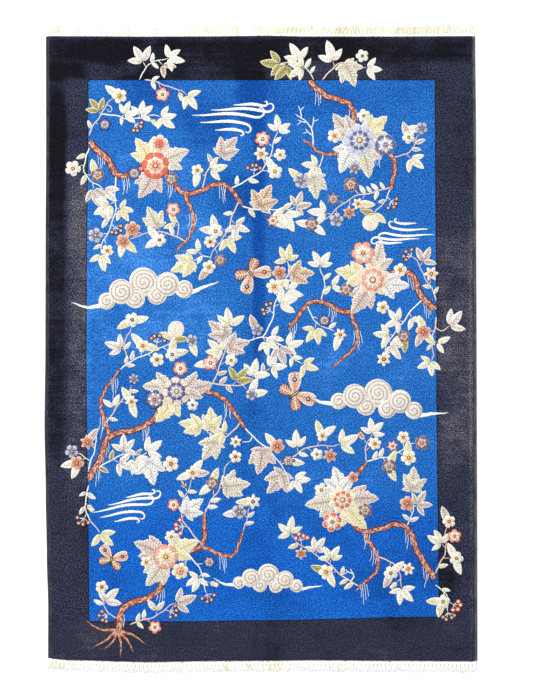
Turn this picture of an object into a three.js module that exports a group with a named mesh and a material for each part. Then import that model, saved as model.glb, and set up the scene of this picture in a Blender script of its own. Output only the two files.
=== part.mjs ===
// A hand-knotted floral rug lying flat on a floor, in millimetres: X across its width, Y along its
// length, Z up. It is made of a knotted pile body, two overcast side cords, and at each end a
// flat-woven band whose warps run on into a knotted fringe.
import * as THREE from "three";

// Driving dimensions
const WIDTH = 1220; // over both side cords
const PILE_LENGTH = 1774; // pile only, without the woven ends and the fringe
const THICKNESS = 9; // foundation and pile together
const CORD_WIDTH = 7;
const CORD_HEIGHT = 5;
const BAND_WIDTH = 8; // flat-woven end, between the pile and the fringe
const BAND_HEIGHT = 2.4;
const LOCK_COUNT = 108; // knotted locks of fringe at each end
const LOCK_LENGTH = 26; // the longest lock, from the band to its tip
const GAP = 0.3; // between neighbouring pieces

// Worked out from them
const HALF_BODY = WIDTH / 2 - CORD_WIDTH - GAP;
const HALF_LENGTH = PILE_LENGTH / 2;
const LOCK_PITCH = WIDTH / LOCK_COUNT;

// How far the long edges stray from straight, in mm towards +X, at stations along the length.
const SIDE_DRIFT = [
  { at: -887, left: 6.2, right: 3.4 },
  { at: -741, left: 6.4, right: 3.2 },
  { at: -591, left: 2.5, right: 3.0 },
  { at: -420, left: -0.5, right: 2.5 },
  { at: -224, left: -4.0, right: 1.9 },
  { at: 0, left: -1.6, right: 1.1 },
  { at: 296, left: -1.0, right: 0.2 },
  { at: 592, left: 0.5, right: -0.3 },
  { at: 887, left: 0.0, right: -2.8 },
];

// The same for the two ends, in mm towards +Y, at stations across the width.
const END_DRIFT = [
  { at: -610, bottom: 6.5, top: 1.1 },
  { at: -547, bottom: 1.7, top: 0.7 },
  { at: -320, bottom: -3.4, top: -0.5 },
  { at: -150, bottom: -0.6, top: 0.1 },
  { at: 21, bottom: 0.3, top: 1.9 },
  { at: 135, bottom: 1.7, top: -0.1 },
  { at: 362, bottom: 0.1, top: -0.3 },
  { at: 610, bottom: -1.4, top: 0.9 },
];

// Soft folds left from storage. One along Y lies at a fixed X, and one along X at a fixed Y; it is
// "half" mm wide to each side, rises or sinks by "rise", and fades out past "from" and "to".
const FOLDS = [
  { along: "Y", at: -8, half: 34, rise: -2.2, from: -420, to: 887 },
  { along: "Y", at: -553, half: 30, rise: 1.8, from: -430, to: 760 },
  { along: "Y", at: 548, half: 34, rise: 1.0, from: -560, to: 200 },
  { along: "X", at: 806, half: 30, rise: 1.6, from: -520, to: 560 },
  { along: "X", at: -30, half: 40, rise: -0.9, from: -600, to: 60 },
];
const FOLD_FADE = 160; // the length over which a fold fades out

// The pile's edge from the floor up: how far each ring lies inside the widest outline, and its
// height. The rings marked "rides" go up and down with the folds.
const EDGE_RINGS = [
  { inset: 1.2, height: 0, rides: false },
  { inset: 0, height: 2.2, rides: false },
  { inset: 0, height: THICKNESS - 3.4, rides: false },
  { inset: 1.3, height: THICKNESS - 0.9, rides: true },
  { inset: 4.2, height: THICKNESS, rides: true },
];
const TOP_INSET = EDGE_RINGS[EDGE_RINGS.length - 1].inset;
const GRID_PITCH = 54; // spacing of the body's top grid where no fold lies

// A lock of fringe from its root to its tip, as shares of its length and sizes in mm. Its top is
// narrower than its foot by the share "crown".
const LOCK_STATIONS = [
  { share: 0, width: 4.4, height: BAND_HEIGHT, crown: 1 },
  { share: 0.17, width: 6.2, height: 4.3, crown: 0.55 },
  { share: 0.34, width: 3.6, height: 2.7, crown: 0.6 },
  { share: 0.7, width: 5.4, height: 2.2, crown: 0.6 },
  { share: 1, width: 2.6, height: 0.9, crown: 0.6 },
];

// Smooth value of one column of a table at a place, held level past the table's ends.
function readTable(table, column, place) {
  if (place <= table[0].at) return table[0][column];
  for (let i = 1; i < table.length; i++) {
    const low = table[i - 1];
    const high = table[i];
    if (place > high.at) continue;
    const share = THREE.MathUtils.smoothstep(place, low.at, high.at);
    return THREE.MathUtils.lerp(low[column], high[column], share);
  }
  return table[table.length - 1][column];
}

// Height that the folds add at a point of the top: each is a raised-cosine ridge or trough.
function foldHeight(x, y) {
  let height = 0;
  for (const fold of FOLDS) {
    const [across, along] = fold.along === "Y" ? [x, y] : [y, x];
    const off = Math.abs(across - fold.at) / fold.half;
    if (off >= 1) continue;
    const fadeIn = THREE.MathUtils.smoothstep(along, fold.from - FOLD_FADE, fold.from);
    const fadeOut = 1 - THREE.MathUtils.smoothstep(along, fold.to, fold.to + FOLD_FADE);
    height += fold.rise * fadeIn * fadeOut * 0.5 * (1 + Math.cos(Math.PI * off));
  }
  return height;
}

// Moves a point of the straight rug to where the uneven one has it.
function strayed(x, y) {
  const right = THREE.MathUtils.clamp((x + WIDTH / 2) / WIDTH, 0, 1);
  const top = THREE.MathUtils.clamp((y + HALF_LENGTH) / PILE_LENGTH, 0, 1);
  const dx = THREE.MathUtils.lerp(
    readTable(SIDE_DRIFT, "left", y),
    readTable(SIDE_DRIFT, "right", y),
    right,
  );
  const dy = THREE.MathUtils.lerp(
    readTable(END_DRIFT, "bottom", x),
    readTable(END_DRIFT, "top", x),
    top,
  );
  return [x + dx, y + dy];
}

// A repeatable number from 0 to 1 for each lock.
function jitter(index, salt) {
  const wave = Math.sin(index * 12.9898 + salt * 78.233) * 43758.5453;
  return wave - Math.floor(wave);
}

// Collects points and outward faces, and makes them one mesh.
class Shell {
  constructor() {
    this.points = [];
    this.faces = [];
  }

  point(x, y, z) {
    this.points.push(x, y, z);
    return this.points.length / 3 - 1;
  }

  // A face of four points, anticlockwise seen from outside.
  quad(a, b, c, d) {
    this.faces.push(a, b, c, a, c, d);
  }

  triangle(a, b, c) {
    this.faces.push(a, b, c);
  }

  turnOver() {
    for (let i = 0; i < this.faces.length; i += 3) {
      [this.faces[i + 1], this.faces[i + 2]] = [this.faces[i + 2], this.faces[i + 1]];
    }
  }

  mesh(name, material) {
    const geometry = new THREE.BufferGeometry();
    geometry.setAttribute("position", new THREE.Float32BufferAttribute(this.points, 3));
    geometry.setIndex(this.faces);
    geometry.computeVertexNormals();
    const made = new THREE.Mesh(geometry, material);
    made.name = name;
    return made;
  }
}

// Grid lines from -half to half: even ones, and five more over each fold that runs across them.
function gridLines(half, foldDirection) {
  const lines = [-half, half];
  const crossed = FOLDS.filter((fold) => fold.along === foldDirection);
  for (const fold of crossed) {
    for (const part of [-1, -0.5, 0, 0.5, 1]) lines.push(fold.at + part * fold.half);
  }
  const count = Math.round((2 * half) / GRID_PITCH);
  const clear = GRID_PITCH * 0.45;
  for (let i = 1; i < count; i++) {
    const place = -half + (2 * half * i) / count;
    if (lines.every((line) => Math.abs(line - place) > clear)) lines.push(place);
  }
  return lines.sort((a, b) => a - b);
}

// The knotted body: a grid over the top, the rounded edge rings, and a flat underside.
function makeBody(material) {
  const shell = new Shell();
  const columns = gridLines(HALF_BODY, "Y");
  const rows = gridLines(HALF_LENGTH, "X");
  const place = (x, y, ring) => {
    const [px, py] = strayed(
      x * (1 - ring.inset / HALF_BODY),
      y * (1 - ring.inset / HALF_LENGTH),
    );
    return shell.point(px, py, ring.height + (ring.rides ? foldHeight(x, y) : 0));
  };
  const topRing = EDGE_RINGS[EDGE_RINGS.length - 1];
  const top = rows.map((y) => columns.map((x) => place(x, y, topRing)));
  for (let j = 1; j < rows.length; j++) {
    for (let i = 1; i < columns.length; i++) {
      shell.quad(top[j - 1][i - 1], top[j - 1][i], top[j][i], top[j][i - 1]);
    }
  }

  // The grid's rim as a loop, anticlockwise from above.
  const lastRow = rows.length - 1;
  const lastColumn = columns.length - 1;
  const loop = [];
  for (let i = 0; i < lastColumn; i++) loop.push([i, 0]);
  for (let j = 0; j < lastRow; j++) loop.push([lastColumn, j]);
  for (let i = lastColumn; i > 0; i--) loop.push([i, lastRow]);
  for (let j = lastRow; j > 0; j--) loop.push([0, j]);

  const rings = EDGE_RINGS.map((ring) =>
    ring === topRing
      ? loop.map(([i, j]) => top[j][i])
      : loop.map(([i, j]) => place(columns[i], rows[j], ring)),
  );
  const centre = shell.point(0, 0, 0);
  for (let k = 0; k < loop.length; k++) {
    const next = (k + 1) % loop.length;
    for (let r = 1; r < rings.length; r++) {
      shell.quad(rings[r - 1][k], rings[r - 1][next], rings[r][next], rings[r][k]);
    }
    shell.triangle(centre, rings[0][next], rings[0][k]);
  }
  return shell.mesh("rug_body", material);
}

// An overcast side cord: an eight-sided section, flat underneath, carried along the pile's edge.
function makeSideCord(name, side, material) {
  const shell = new Shell();
  const middle = side * (WIDTH / 2 - CORD_WIDTH / 2);
  const half = CORD_WIDTH / 2;
  const section = [
    [-0.6 * half, 0],
    [0.6 * half, 0],
    [half, 0.3 * CORD_HEIGHT],
    [half, 0.7 * CORD_HEIGHT],
    [0.55 * half, CORD_HEIGHT],
    [-0.55 * half, CORD_HEIGHT],
    [-half, 0.7 * CORD_HEIGHT],
    [-half, 0.3 * CORD_HEIGHT],
  ];
  const rows = gridLines(HALF_LENGTH, "X");
  const rings = rows.map((y) => {
    const [, strayedY] = strayed(middle, y);
    const [shift] = strayed(side * HALF_BODY, y);
    const x = shift + side * (GAP + half);
    return section.map(([across, up]) => shell.point(x + across, strayedY, up));
  });
  const count = section.length;
  for (let j = 1; j < rings.length; j++) {
    for (let k = 0; k < count; k++) {
      const next = (k + 1) % count;
      shell.quad(rings[j - 1][k], rings[j][k], rings[j][next], rings[j - 1][next]);
    }
  }
  const first = rings[0];
  const last = rings[rings.length - 1];
  for (let k = 2; k < count; k++) {
    shell.triangle(first[0], first[k - 1], first[k]);
    shell.triangle(last[0], last[k], last[k - 1]);
  }
  return shell.mesh(name, material);
}

// How far a lock's tip sways to the side: neighbours lean together, each a little its own way.
function lockSway(index, end) {
  const together = 4.2 * Math.sin(index * 0.19 + end) + 2.4 * Math.sin(index * 0.071 + 2 * end);
  return together + 2.6 * (jitter(index, 3 + end) - 0.5);
}

// Length of a lock as worn: the fringe at the low-numbered side of each end is the shorter.
function lockLength(index, end) {
  const worn = 0.8 + 0.12 * (index / (LOCK_COUNT - 1));
  return LOCK_LENGTH * (worn + (1 - worn) * jitter(index, 7 + end));
}

// The flat-woven band at one end (1 top, -1 bottom) with its locks, fused at their roots.
function makeFringe(name, end, material) {
  const shell = new Shell();
  // A point at x, and "out" mm outwards from the pile's edge.
  const place = (x, out, z) => {
    const [px, edge] = strayed(x, end * HALF_LENGTH);
    return shell.point(px, edge + end * (GAP + out), z);
  };
  const columnAt = (x) => ({
    innerFoot: place(x, 0, 0),
    innerTop: place(x, 0, BAND_HEIGHT),
    outerFoot: place(x, BAND_WIDTH, 0),
    outerTop: place(x, BAND_WIDTH, BAND_HEIGHT),
  });

  const columns = [columnAt(-WIDTH / 2)];
  const roots = [];
  for (let index = 0; index < LOCK_COUNT; index++) {
    const middle = -WIDTH / 2 + (index + 0.5) * LOCK_PITCH;
    const left = columnAt(middle - LOCK_STATIONS[0].width / 2);
    const right = columnAt(middle + LOCK_STATIONS[0].width / 2);
    roots.push({ index, middle, left, right });
    columns.push(left, right);
  }
  columns.push(columnAt(WIDTH / 2));

  for (let c = 1; c < columns.length; c++) {
    const a = columns[c - 1];
    const b = columns[c];
    shell.quad(a.innerFoot, a.outerFoot, b.outerFoot, b.innerFoot);
    shell.quad(a.innerTop, b.innerTop, b.outerTop, a.outerTop);
    shell.quad(a.innerFoot, b.innerFoot, b.innerTop, a.innerTop);
    const carriesLock = c % 2 === 0;
    if (!carriesLock) shell.quad(a.outerFoot, a.outerTop, b.outerTop, b.outerFoot);
  }
  const start = columns[0];
  const stop = columns[columns.length - 1];
  shell.quad(start.innerFoot, start.innerTop, start.outerTop, start.outerFoot);
  shell.quad(stop.innerFoot, stop.outerFoot, stop.outerTop, stop.innerTop);

  for (const { index, middle, left, right } of roots) {
    const length = lockLength(index, end);
    const sway = lockSway(index, end);
    let ring = {
      leftFoot: left.outerFoot,
      leftTop: left.outerTop,
      rightFoot: right.outerFoot,
      rightTop: right.outerTop,
    };
    for (const station of LOCK_STATIONS.slice(1)) {
      const x = middle + sway * station.share ** 1.4;
      const out = BAND_WIDTH + length * station.share;
      const foot = station.width / 2;
      const crown = foot * station.crown;
      const next = {
        leftFoot: place(x - foot, out, 0),
        leftTop: place(x - crown, out, station.height),
        rightFoot: place(x + foot, out, 0),
        rightTop: place(x + crown, out, station.height),
      };
      shell.quad(ring.leftFoot, ring.leftTop, next.leftTop, next.leftFoot);
      shell.quad(ring.rightFoot, next.rightFoot, next.rightTop, ring.rightTop);
      shell.quad(ring.leftFoot, next.leftFoot, next.rightFoot, ring.rightFoot);
      shell.quad(ring.leftTop, ring.rightTop, next.rightTop, next.leftTop);
      ring = next;
    }
    shell.quad(ring.leftFoot, ring.leftTop, ring.rightTop, ring.rightFoot);
  }
  if (end < 0) shell.turnOver();
  return shell.mesh(name, material);
}

// Finishes
const pile = new THREE.MeshStandardMaterial({ color: 0x1c5cb4, roughness: 0.9, metalness: 0 });
const binding = new THREE.MeshStandardMaterial({ color: 0x35323a, roughness: 0.85, metalness: 0 });
const cotton = new THREE.MeshStandardMaterial({ color: 0xefe8d2, roughness: 0.95, metalness: 0 });

// The rug, moved so that the middle of its whole outline is over the origin
const rug = new THREE.Group();
rug.add(
  makeBody(pile),
  makeSideCord("side_cord_left", -1, binding),
  makeSideCord("side_cord_right", 1, binding),
  makeFringe("fringe_top", 1, cotton),
  makeFringe("fringe_bottom", -1, cotton),
);
const centre = new THREE.Box3().setFromObject(rug).getCenter(new THREE.Vector3());
rug.position.set(-centre.x, -centre.y, 0);

export default rug;
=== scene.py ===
"""A hand-knotted floral rug laid flat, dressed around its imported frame.

The pattern is worked out in millimetres from the middle of the pile, with X to the right, Y to the
top end and Z up. Meshes and materials are in metres, in the frame's own axes.
"""

import logging
import math
from dataclasses import dataclass, field
from enum import Enum
from functools import cached_property
from typing import Callable, NamedTuple, Sequence

import bpy
import numpy as np
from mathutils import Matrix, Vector


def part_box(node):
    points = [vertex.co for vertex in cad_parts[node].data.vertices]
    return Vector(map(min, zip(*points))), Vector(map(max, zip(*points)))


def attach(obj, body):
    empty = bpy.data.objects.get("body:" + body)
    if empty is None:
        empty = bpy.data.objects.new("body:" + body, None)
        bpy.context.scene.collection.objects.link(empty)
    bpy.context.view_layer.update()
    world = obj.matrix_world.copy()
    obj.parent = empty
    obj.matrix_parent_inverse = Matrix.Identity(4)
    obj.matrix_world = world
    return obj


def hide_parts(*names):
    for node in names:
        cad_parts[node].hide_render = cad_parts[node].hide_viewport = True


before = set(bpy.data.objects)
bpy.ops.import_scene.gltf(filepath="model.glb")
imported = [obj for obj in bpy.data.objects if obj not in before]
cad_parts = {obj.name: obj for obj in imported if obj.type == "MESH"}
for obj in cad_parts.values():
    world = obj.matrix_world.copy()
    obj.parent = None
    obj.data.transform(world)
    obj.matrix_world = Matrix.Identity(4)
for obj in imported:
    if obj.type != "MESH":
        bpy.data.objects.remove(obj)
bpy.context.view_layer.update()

logging.basicConfig(level=logging.INFO, format="%(message)s")
log = logging.getLogger("rug")

MM = 0.001  # metres in a millimetre
SEED = 23  # one pattern, the same at each run
Array = np.ndarray
Node = bpy.types.Node
Socket = bpy.types.NodeSocket


class Dye(Enum):
    """The wools' and cottons' colours, as sRGB hex."""

    # COBALT_DEEP and COBALT_LIGHT are the field's painted nap shade and painted nap light, and CHARCOAL_DEEP
    # and CHARCOAL_LIGHT the border's; CHARCOAL_DEEP is also the painted shade along the motifs' carved edges.
    COBALT = "1f60ac"
    # Painted nap shade: the field's blue towards the bottom end.
    COBALT_SHADED_END = "125ab4"
    COBALT_DEEP = "0a4490"
    COBALT_LIGHT = "3f82d2"
    CHARCOAL = "292c3e"
    CHARCOAL_DEEP = "0c0c14"
    CHARCOAL_LIGHT = "56535d"
    BINDING = "27272c"
    BINDING_LIGHT = "4c494e"
    COTTON = "f4f1de"
    COTTON_SHADE = "dfdabf"
    COTTON_AGED = "ece8d2"
    COTTON_AGED_SHADE = "d4cba6"
    COTTON_BLEACHED = "fbfbf8"
    COTTON_BLEACHED_SHADE = "f2f2ee"
    CREAM = "ecebe3"
    IVORY = "dbd7cb"
    BISCUIT = "9c8b70"
    OAT = "c6baa2"
    LILAC = "d9cbc1"
    LILAC_BROWN = "8c7674"
    OLIVE = "b6b072"
    OLIVE_DARK = "6f6736"
    STRAW = "e3dabe"
    TAN = "d8c2aa"
    TAN_DARK = "8c6450"
    DUSK = "9a96a2"
    SLATE = "8d93ac"
    SLATE_PALE = "bfc2cf"
    NAVY = "3a3d62"
    NAVY_MID = "5c628c"
    CORAL = "cd6a55"
    CORAL_PALE = "dfa18c"
    ROSE = "c84838"
    PEACH = "e5c9b4"
    PEACH_DEEP = "d6a088"
    BRICK = "a25845"
    BRICK_DARK = "5c2219"
    BRICK_PALE = "d6b09a"
    MAUVE = "a88c86"
    MAUVE_DARK = "6c4c50"
    AMBER = "e0a23e"

    def linear(self) -> tuple[float, float, float, float]:
        """Undoes the sRGB curve: a line near black, and a power of 2.4 above it.

        Returns:
            The colour as linear RGBA.
        """
        parts = [int(self.value[i : i + 2], 16) / 255 for i in (0, 2, 4)]
        red, green, blue = (
            p / 12.92 if p <= 0.04045 else ((p + 0.055) / 1.055) ** 2.4 for p in parts
        )
        return red, green, blue, 1.0


class Colourway(NamedTuple):
    """The three dyes of one motif, and how often it is chosen."""

    rim: Dye
    fill: Dye
    vein: Dye
    share: float = 1.0


SMALL_LEAF_WAYS = (
    Colourway(Dye.CREAM, Dye.CREAM, Dye.OAT, 0.34),
    Colourway(Dye.CREAM, Dye.CREAM, Dye.OLIVE, 0.18),
    Colourway(Dye.CREAM, Dye.CREAM, Dye.MAUVE, 0.12),
    Colourway(Dye.CREAM, Dye.LILAC, Dye.LILAC_BROWN, 0.09),
    Colourway(Dye.STRAW, Dye.OLIVE, Dye.OLIVE_DARK, 0.04),
    Colourway(Dye.CREAM, Dye.STRAW, Dye.OLIVE, 0.18),
    Colourway(Dye.CREAM, Dye.TAN, Dye.TAN_DARK, 0.05),
)
LEAF_WAYS = (
    Colourway(Dye.CREAM, Dye.IVORY, Dye.BISCUIT, 0.34),
    Colourway(Dye.CREAM, Dye.LILAC, Dye.LILAC_BROWN, 0.2),
    Colourway(Dye.STRAW, Dye.OLIVE, Dye.OLIVE_DARK, 0.06),
    Colourway(Dye.CREAM, Dye.STRAW, Dye.OLIVE, 0.2),
    Colourway(Dye.CREAM, Dye.TAN, Dye.TAN_DARK, 0.08),
    Colourway(Dye.CREAM, Dye.CREAM, Dye.DUSK, 0.12),
)
BLOOM_WAYS = (
    Colourway(Dye.CREAM, Dye.CREAM, Dye.AMBER, 0.28),
    Colourway(Dye.CREAM, Dye.IVORY, Dye.STRAW, 0.2),
    Colourway(Dye.CORAL, Dye.CORAL_PALE, Dye.CREAM, 0.12),
    Colourway(Dye.PEACH, Dye.PEACH_DEEP, Dye.BRICK, 0.12),
    Colourway(Dye.MAUVE, Dye.MAUVE_DARK, Dye.LILAC, 0.12),
    Colourway(Dye.NAVY, Dye.NAVY_MID, Dye.LILAC, 0.08),
    Colourway(Dye.SLATE, Dye.SLATE_PALE, Dye.NAVY, 0.08),
)
TWIG_WAYS = (
    Colourway(Dye.CREAM, Dye.CREAM, Dye.IVORY, 0.55),
    Colourway(Dye.PEACH, Dye.PEACH, Dye.PEACH_DEEP, 0.45),
)
HEART_WAY = Colourway(Dye.TAN_DARK, Dye.AMBER, Dye.STRAW)
DARK_HEART_WAY = Colourway(Dye.NAVY, Dye.NAVY, Dye.CREAM)
# In the cotton, cord and tuft ways, the rim dye is the painted shade between plies and the fill dye the lit
# yarn.
COTTON_WAYS = (
    Colourway(Dye.COTTON_BLEACHED_SHADE, Dye.COTTON_BLEACHED, Dye.COTTON_BLEACHED),
    Colourway(Dye.COTTON_SHADE, Dye.COTTON, Dye.COTTON),
    Colourway(Dye.COTTON_AGED_SHADE, Dye.COTTON_AGED, Dye.COTTON_AGED),
)
DARK_CORD_WAY = Colourway(Dye.CHARCOAL_DEEP, Dye.CHARCOAL, Dye.CHARCOAL)
TAUPE_CORD_WAY = Colourway(Dye.BINDING, Dye.BINDING_LIGHT, Dye.BINDING_LIGHT)
TUFT_WAY = Colourway(Dye.CHARCOAL_DEEP, Dye.CHARCOAL_LIGHT, Dye.CHARCOAL_LIGHT)
BARK_WAY = Colourway(Dye.BRICK_DARK, Dye.BRICK, Dye.BRICK_PALE)
CLOUD_WAY = Colourway(Dye.CREAM, Dye.IVORY, Dye.MAUVE)
BUD_WAY = Colourway(Dye.CORAL, Dye.CORAL_PALE, Dye.CREAM)
BERRY_WAY = Colourway(Dye.MAUVE_DARK, Dye.MAUVE, Dye.PEACH)
FRUIT_WAY = Colourway(Dye.CREAM, Dye.IVORY, Dye.PEACH)
FORE_WING_WAY = Colourway(Dye.CREAM, Dye.PEACH, Dye.BRICK)
HIND_WING_WAY = Colourway(Dye.BRICK_DARK, Dye.BRICK, Dye.STRAW)
BODY_WAY = Colourway(Dye.BRICK_DARK, Dye.MAUVE_DARK, Dye.STRAW)


class Drift(NamedTuple):
    """How far two facing edges stray from straight at one station, in mm."""

    at: float
    low: float
    high: float


SIDE_DRIFT = (
    Drift(-887, 6.2, 3.4),
    Drift(-741, 6.4, 3.2),
    Drift(-591, 2.5, 3.0),
    Drift(-420, -0.5, 2.5),
    Drift(-224, -4.0, 1.9),
    Drift(0, -1.6, 1.1),
    Drift(296, -1.0, 0.2),
    Drift(592, 0.5, -0.3),
    Drift(887, 0.0, -2.8),
)
END_DRIFT = (
    Drift(-610, 6.5, 1.1),
    Drift(-547, 1.7, 0.7),
    Drift(-320, -3.4, -0.5),
    Drift(-150, -0.6, 0.1),
    Drift(21, 0.3, 1.9),
    Drift(135, 1.7, -0.1),
    Drift(362, 0.1, -0.3),
    Drift(610, -1.4, 0.9),
)
# The blue field's edges: left and right at stations along Y, bottom and top at stations along X.
FIELD_SIDES = (Drift(-770, -487.8, 504.6), Drift(0, -495.6, 498.2), Drift(762, -490.0, 494.1))
FIELD_ENDS = (
    Drift(-490, -774.6, 762.6),
    Drift(-216, -775.0, 762.6),
    Drift(0, -771.6, 762.6),
    Drift(495, -762.0, 762.6),
)


class Fold(NamedTuple):
    """A soft ridge or trough: the axis it runs along, where it lies, and how it rises, in mm."""

    along_y: bool
    at: float
    half: float
    rise: float
    start: float
    stop: float


FOLDS = (
    Fold(True, -8, 34, -2.2, -420, 887),
    Fold(True, -553, 30, 1.8, -430, 760),
    Fold(True, 548, 34, 1.0, -560, 200),
    Fold(False, 806, 30, 1.6, -520, 560),
    Fold(False, -30, 40, -0.9, -600, 60),
)
FOLD_FADE = 160.0  # the length over which a fold fades out


class NapLightShade(NamedTuple):
    """A patch of painted nap light (+) or painted nap shade (-), in mm."""

    x: float
    y: float
    half_x: float
    half_y: float
    tone: float


# Patches of painted nap light and shade over the pile, with painted shade along the middle fold's trough and
# over the lower field.
NAP_LIGHT_SHADE = (
    NapLightShade(-581, 230, 28, 560, -1.0),
    NapLightShade(-521, 60, 32, 560, 0.35),
    NapLightShade(-521, 330, 32, 120, 0.35),
    NapLightShade(0, 850, 620, 37, -1.0),
    NapLightShade(-581, 590, 30, 140, -0.45),
    NapLightShade(-581, 90, 28, 230, 0.25),
    NapLightShade(-575, -520, 34, 90, 0.2),
    NapLightShade(-521, 660, 32, 70, -0.3),
    NapLightShade(-560, 789, 60, 24, -0.7),
    NapLightShade(-400, 789, 120, 24, -0.4),
    NapLightShade(-150, 789, 130, 24, -0.8),
    NapLightShade(390, 789, 60, 24, -0.3),
    NapLightShade(-450, 850, 90, 37, -0.4),
    NapLightShade(150, 789, 90, 24, 0.15),
    NapLightShade(558, 10, 54, 430, 0.45),
    NapLightShade(600, -100, 7, 760, 0.5),
    NapLightShade(556, 640, 60, 230, -0.42),
    NapLightShade(525, -520, 40, 130, -0.3),
    NapLightShade(0, -825, 600, 70, 0.12),
    NapLightShade(-16, -855, 110, 30, -0.25),
    NapLightShade(510, -865, 90, 22, -0.3),
    NapLightShade(-5, 330, 17, 420, -0.8),
    NapLightShade(0, 0, 62, 800, -0.28),
    NapLightShade(200, 715, 270, 60, -0.4),
    NapLightShade(-160, 640, 70, 80, -0.5),
    NapLightShade(-340, 735, 70, 50, -0.7),
    NapLightShade(-30, 705, 40, 70, -0.7),
    NapLightShade(-75, 435, 60, 60, -0.7),
    NapLightShade(-350, -100, 90, 60, -0.4),
    NapLightShade(0, -620, 600, 220, -0.25),
    NapLightShade(420, -640, 120, 180, -0.3),
    NapLightShade(-300, 180, 190, 220, 0.4),
    NapLightShade(-330, 500, 120, 60, 0.3),
    NapLightShade(250, 120, 200, 180, 0.15),
)


def eased(share: Array) -> Array:
    """The share's smooth step: 3 s squared less 2 s cubed, with s held from 0 to 1."""
    held = np.clip(share, 0.0, 1.0)
    return held * held * (3.0 - 2.0 * held)


def between(rows: tuple[Drift, ...], place: Array) -> tuple[Array, Array]:
    """Reads both edges of a drift table.

    Each value is the lower row's plus the smooth step of the way to the next row, times the
    difference between the two.

    Args:
        rows: stations in rising order.
        place: where to read, in mm along the edge.

    Returns:
        The low edge's and the high edge's values.
    """
    table = np.array(rows)
    i = np.clip(np.searchsorted(table[:, 0], place) - 1, 0, len(table) - 2)
    share = eased((place - table[i, 0]) / (table[i + 1, 0] - table[i, 0]))
    low, high = (table[i, c] + (table[i + 1, c] - table[i, c]) * share for c in (1, 2))
    return low, high


@dataclass(frozen=True)
class RugForm:
    """The rug's outline and surface, in mm."""

    width: float = 1220.0
    pile_length: float = 1774.0
    thickness: float = 9.0
    cord_width: float = 7.0
    cord_height: float = 5.0
    band_width: float = 8.0
    band_height: float = 2.4
    gap: float = 0.3
    lock_count: int = 108
    lock_length: float = 26.0

    @property
    def half_body(self) -> float:
        """Half the pile's width."""
        return self.width / 2 - self.cord_width - self.gap

    @property
    def half_length(self) -> float:
        """Half the pile's length."""
        return self.pile_length / 2

    def strayed(self, x: Array, y: Array) -> tuple[Array, Array]:
        """Moves points of the straight rug to where the uneven one has them.

        A point's shift in X goes evenly from the left edge's drift at its Y to the right edge's,
        and its shift in Y from the bottom edge's drift at its X to the top edge's.

        Args:
            x: places across, in mm.
            y: places along, in mm.

        Returns:
            The moved places.
        """
        x, y = np.broadcast_arrays(np.asarray(x, float), np.asarray(y, float))
        right = np.clip((x + self.width / 2) / self.width, 0, 1)
        top = np.clip((y + self.half_length) / self.pile_length, 0, 1)
        side_low, side_high = between(SIDE_DRIFT, y)
        end_low, end_high = between(END_DRIFT, x)
        return x + side_low + (side_high - side_low) * right, y + end_low + (end_high - end_low) * top

    def surface(self, x: Array, y: Array) -> Array:
        """The pile's top: its thickness plus each fold's raised cosine, faded at its ends.

        Args:
            x: places across, in mm.
            y: places along, in mm.

        Returns:
            The height at each place.
        """
        height = np.full(np.shape(x), self.thickness)
        for fold in FOLDS:
            across, along = (x, y) if fold.along_y else (y, x)
            off = np.clip(np.abs(across - fold.at) / fold.half, 0, 1)
            fade = eased((along - fold.start + FOLD_FADE) / FOLD_FADE)
            fade = fade * (1 - eased((along - fold.stop) / FOLD_FADE))
            height = height + fold.rise * fade * 0.5 * (1 + np.cos(np.pi * off))
        return height

    def field_depth(self, x: Array, y: Array) -> Array:
        """The least distance to the blue field's four edges.

        Args:
            x: places across, in mm.
            y: places along, in mm.

        Returns:
            The distance inside the field in mm, and below 0 in the border.
        """
        left, right = between(FIELD_SIDES, y)
        bottom, top = between(FIELD_ENDS, x)
        return np.minimum(np.minimum(x - left, right - x), np.minimum(y - bottom, top - y))

    @cached_property
    def shift(self) -> Array:
        """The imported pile's box middle less that of this plan's outline.

        Returns:
            The way from the plan's middle to the frame's origin, in mm.
        """
        low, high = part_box("rug_body")
        along = np.linspace(-self.half_length, self.half_length, 400)
        across = np.linspace(-self.half_body, self.half_body, 400)
        xs = np.concatenate([self.strayed(s * self.half_body, along)[0] for s in (-1, 1)])
        ys = np.concatenate([self.strayed(across, s * self.half_length)[1] for s in (-1, 1)])
        middle_x = (low[0] + high[0]) / 2 / MM - (xs.min() + xs.max()) / 2
        middle_y = (low[1] + high[1]) / 2 / MM - (ys.min() + ys.max()) / 2
        return np.array([middle_x, middle_y, 0.0])


class Block(NamedTuple):
    """One closed shape: its points in mm, its faces, and what its pattern reads at each point."""

    points: Array
    corners: Array
    sizes: Array
    pattern: Array
    rim: Array


def strip_faces(rows: int, columns: int) -> tuple[Array, Array]:
    """Faces that close a grid of rows by columns into a solid strip.

    The top is the grid's squares, the underside joins each row's two end points to the next
    row's, and the first and last rows are closed by one face each.

    Args:
        rows: points along the strip.
        columns: points across it, from its right side to its left.

    Returns:
        All faces' corners in one array, and each face's number of corners.
    """
    at = np.arange(rows * columns).reshape(rows, columns)
    top = np.stack([at[:-1, :-1], at[1:, :-1], at[1:, 1:], at[:-1, 1:]], -1).reshape(-1)
    under = np.stack([at[:-1, 0], at[:-1, -1], at[1:, -1], at[1:, 0]], -1).reshape(-1)
    corners = np.concatenate([top, under, at[0], at[-1, ::-1]])
    squares = (rows - 1) * (columns - 1) + rows - 1
    sizes = np.concatenate([np.full(squares, 4), [columns, columns]])
    return corners, sizes


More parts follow.
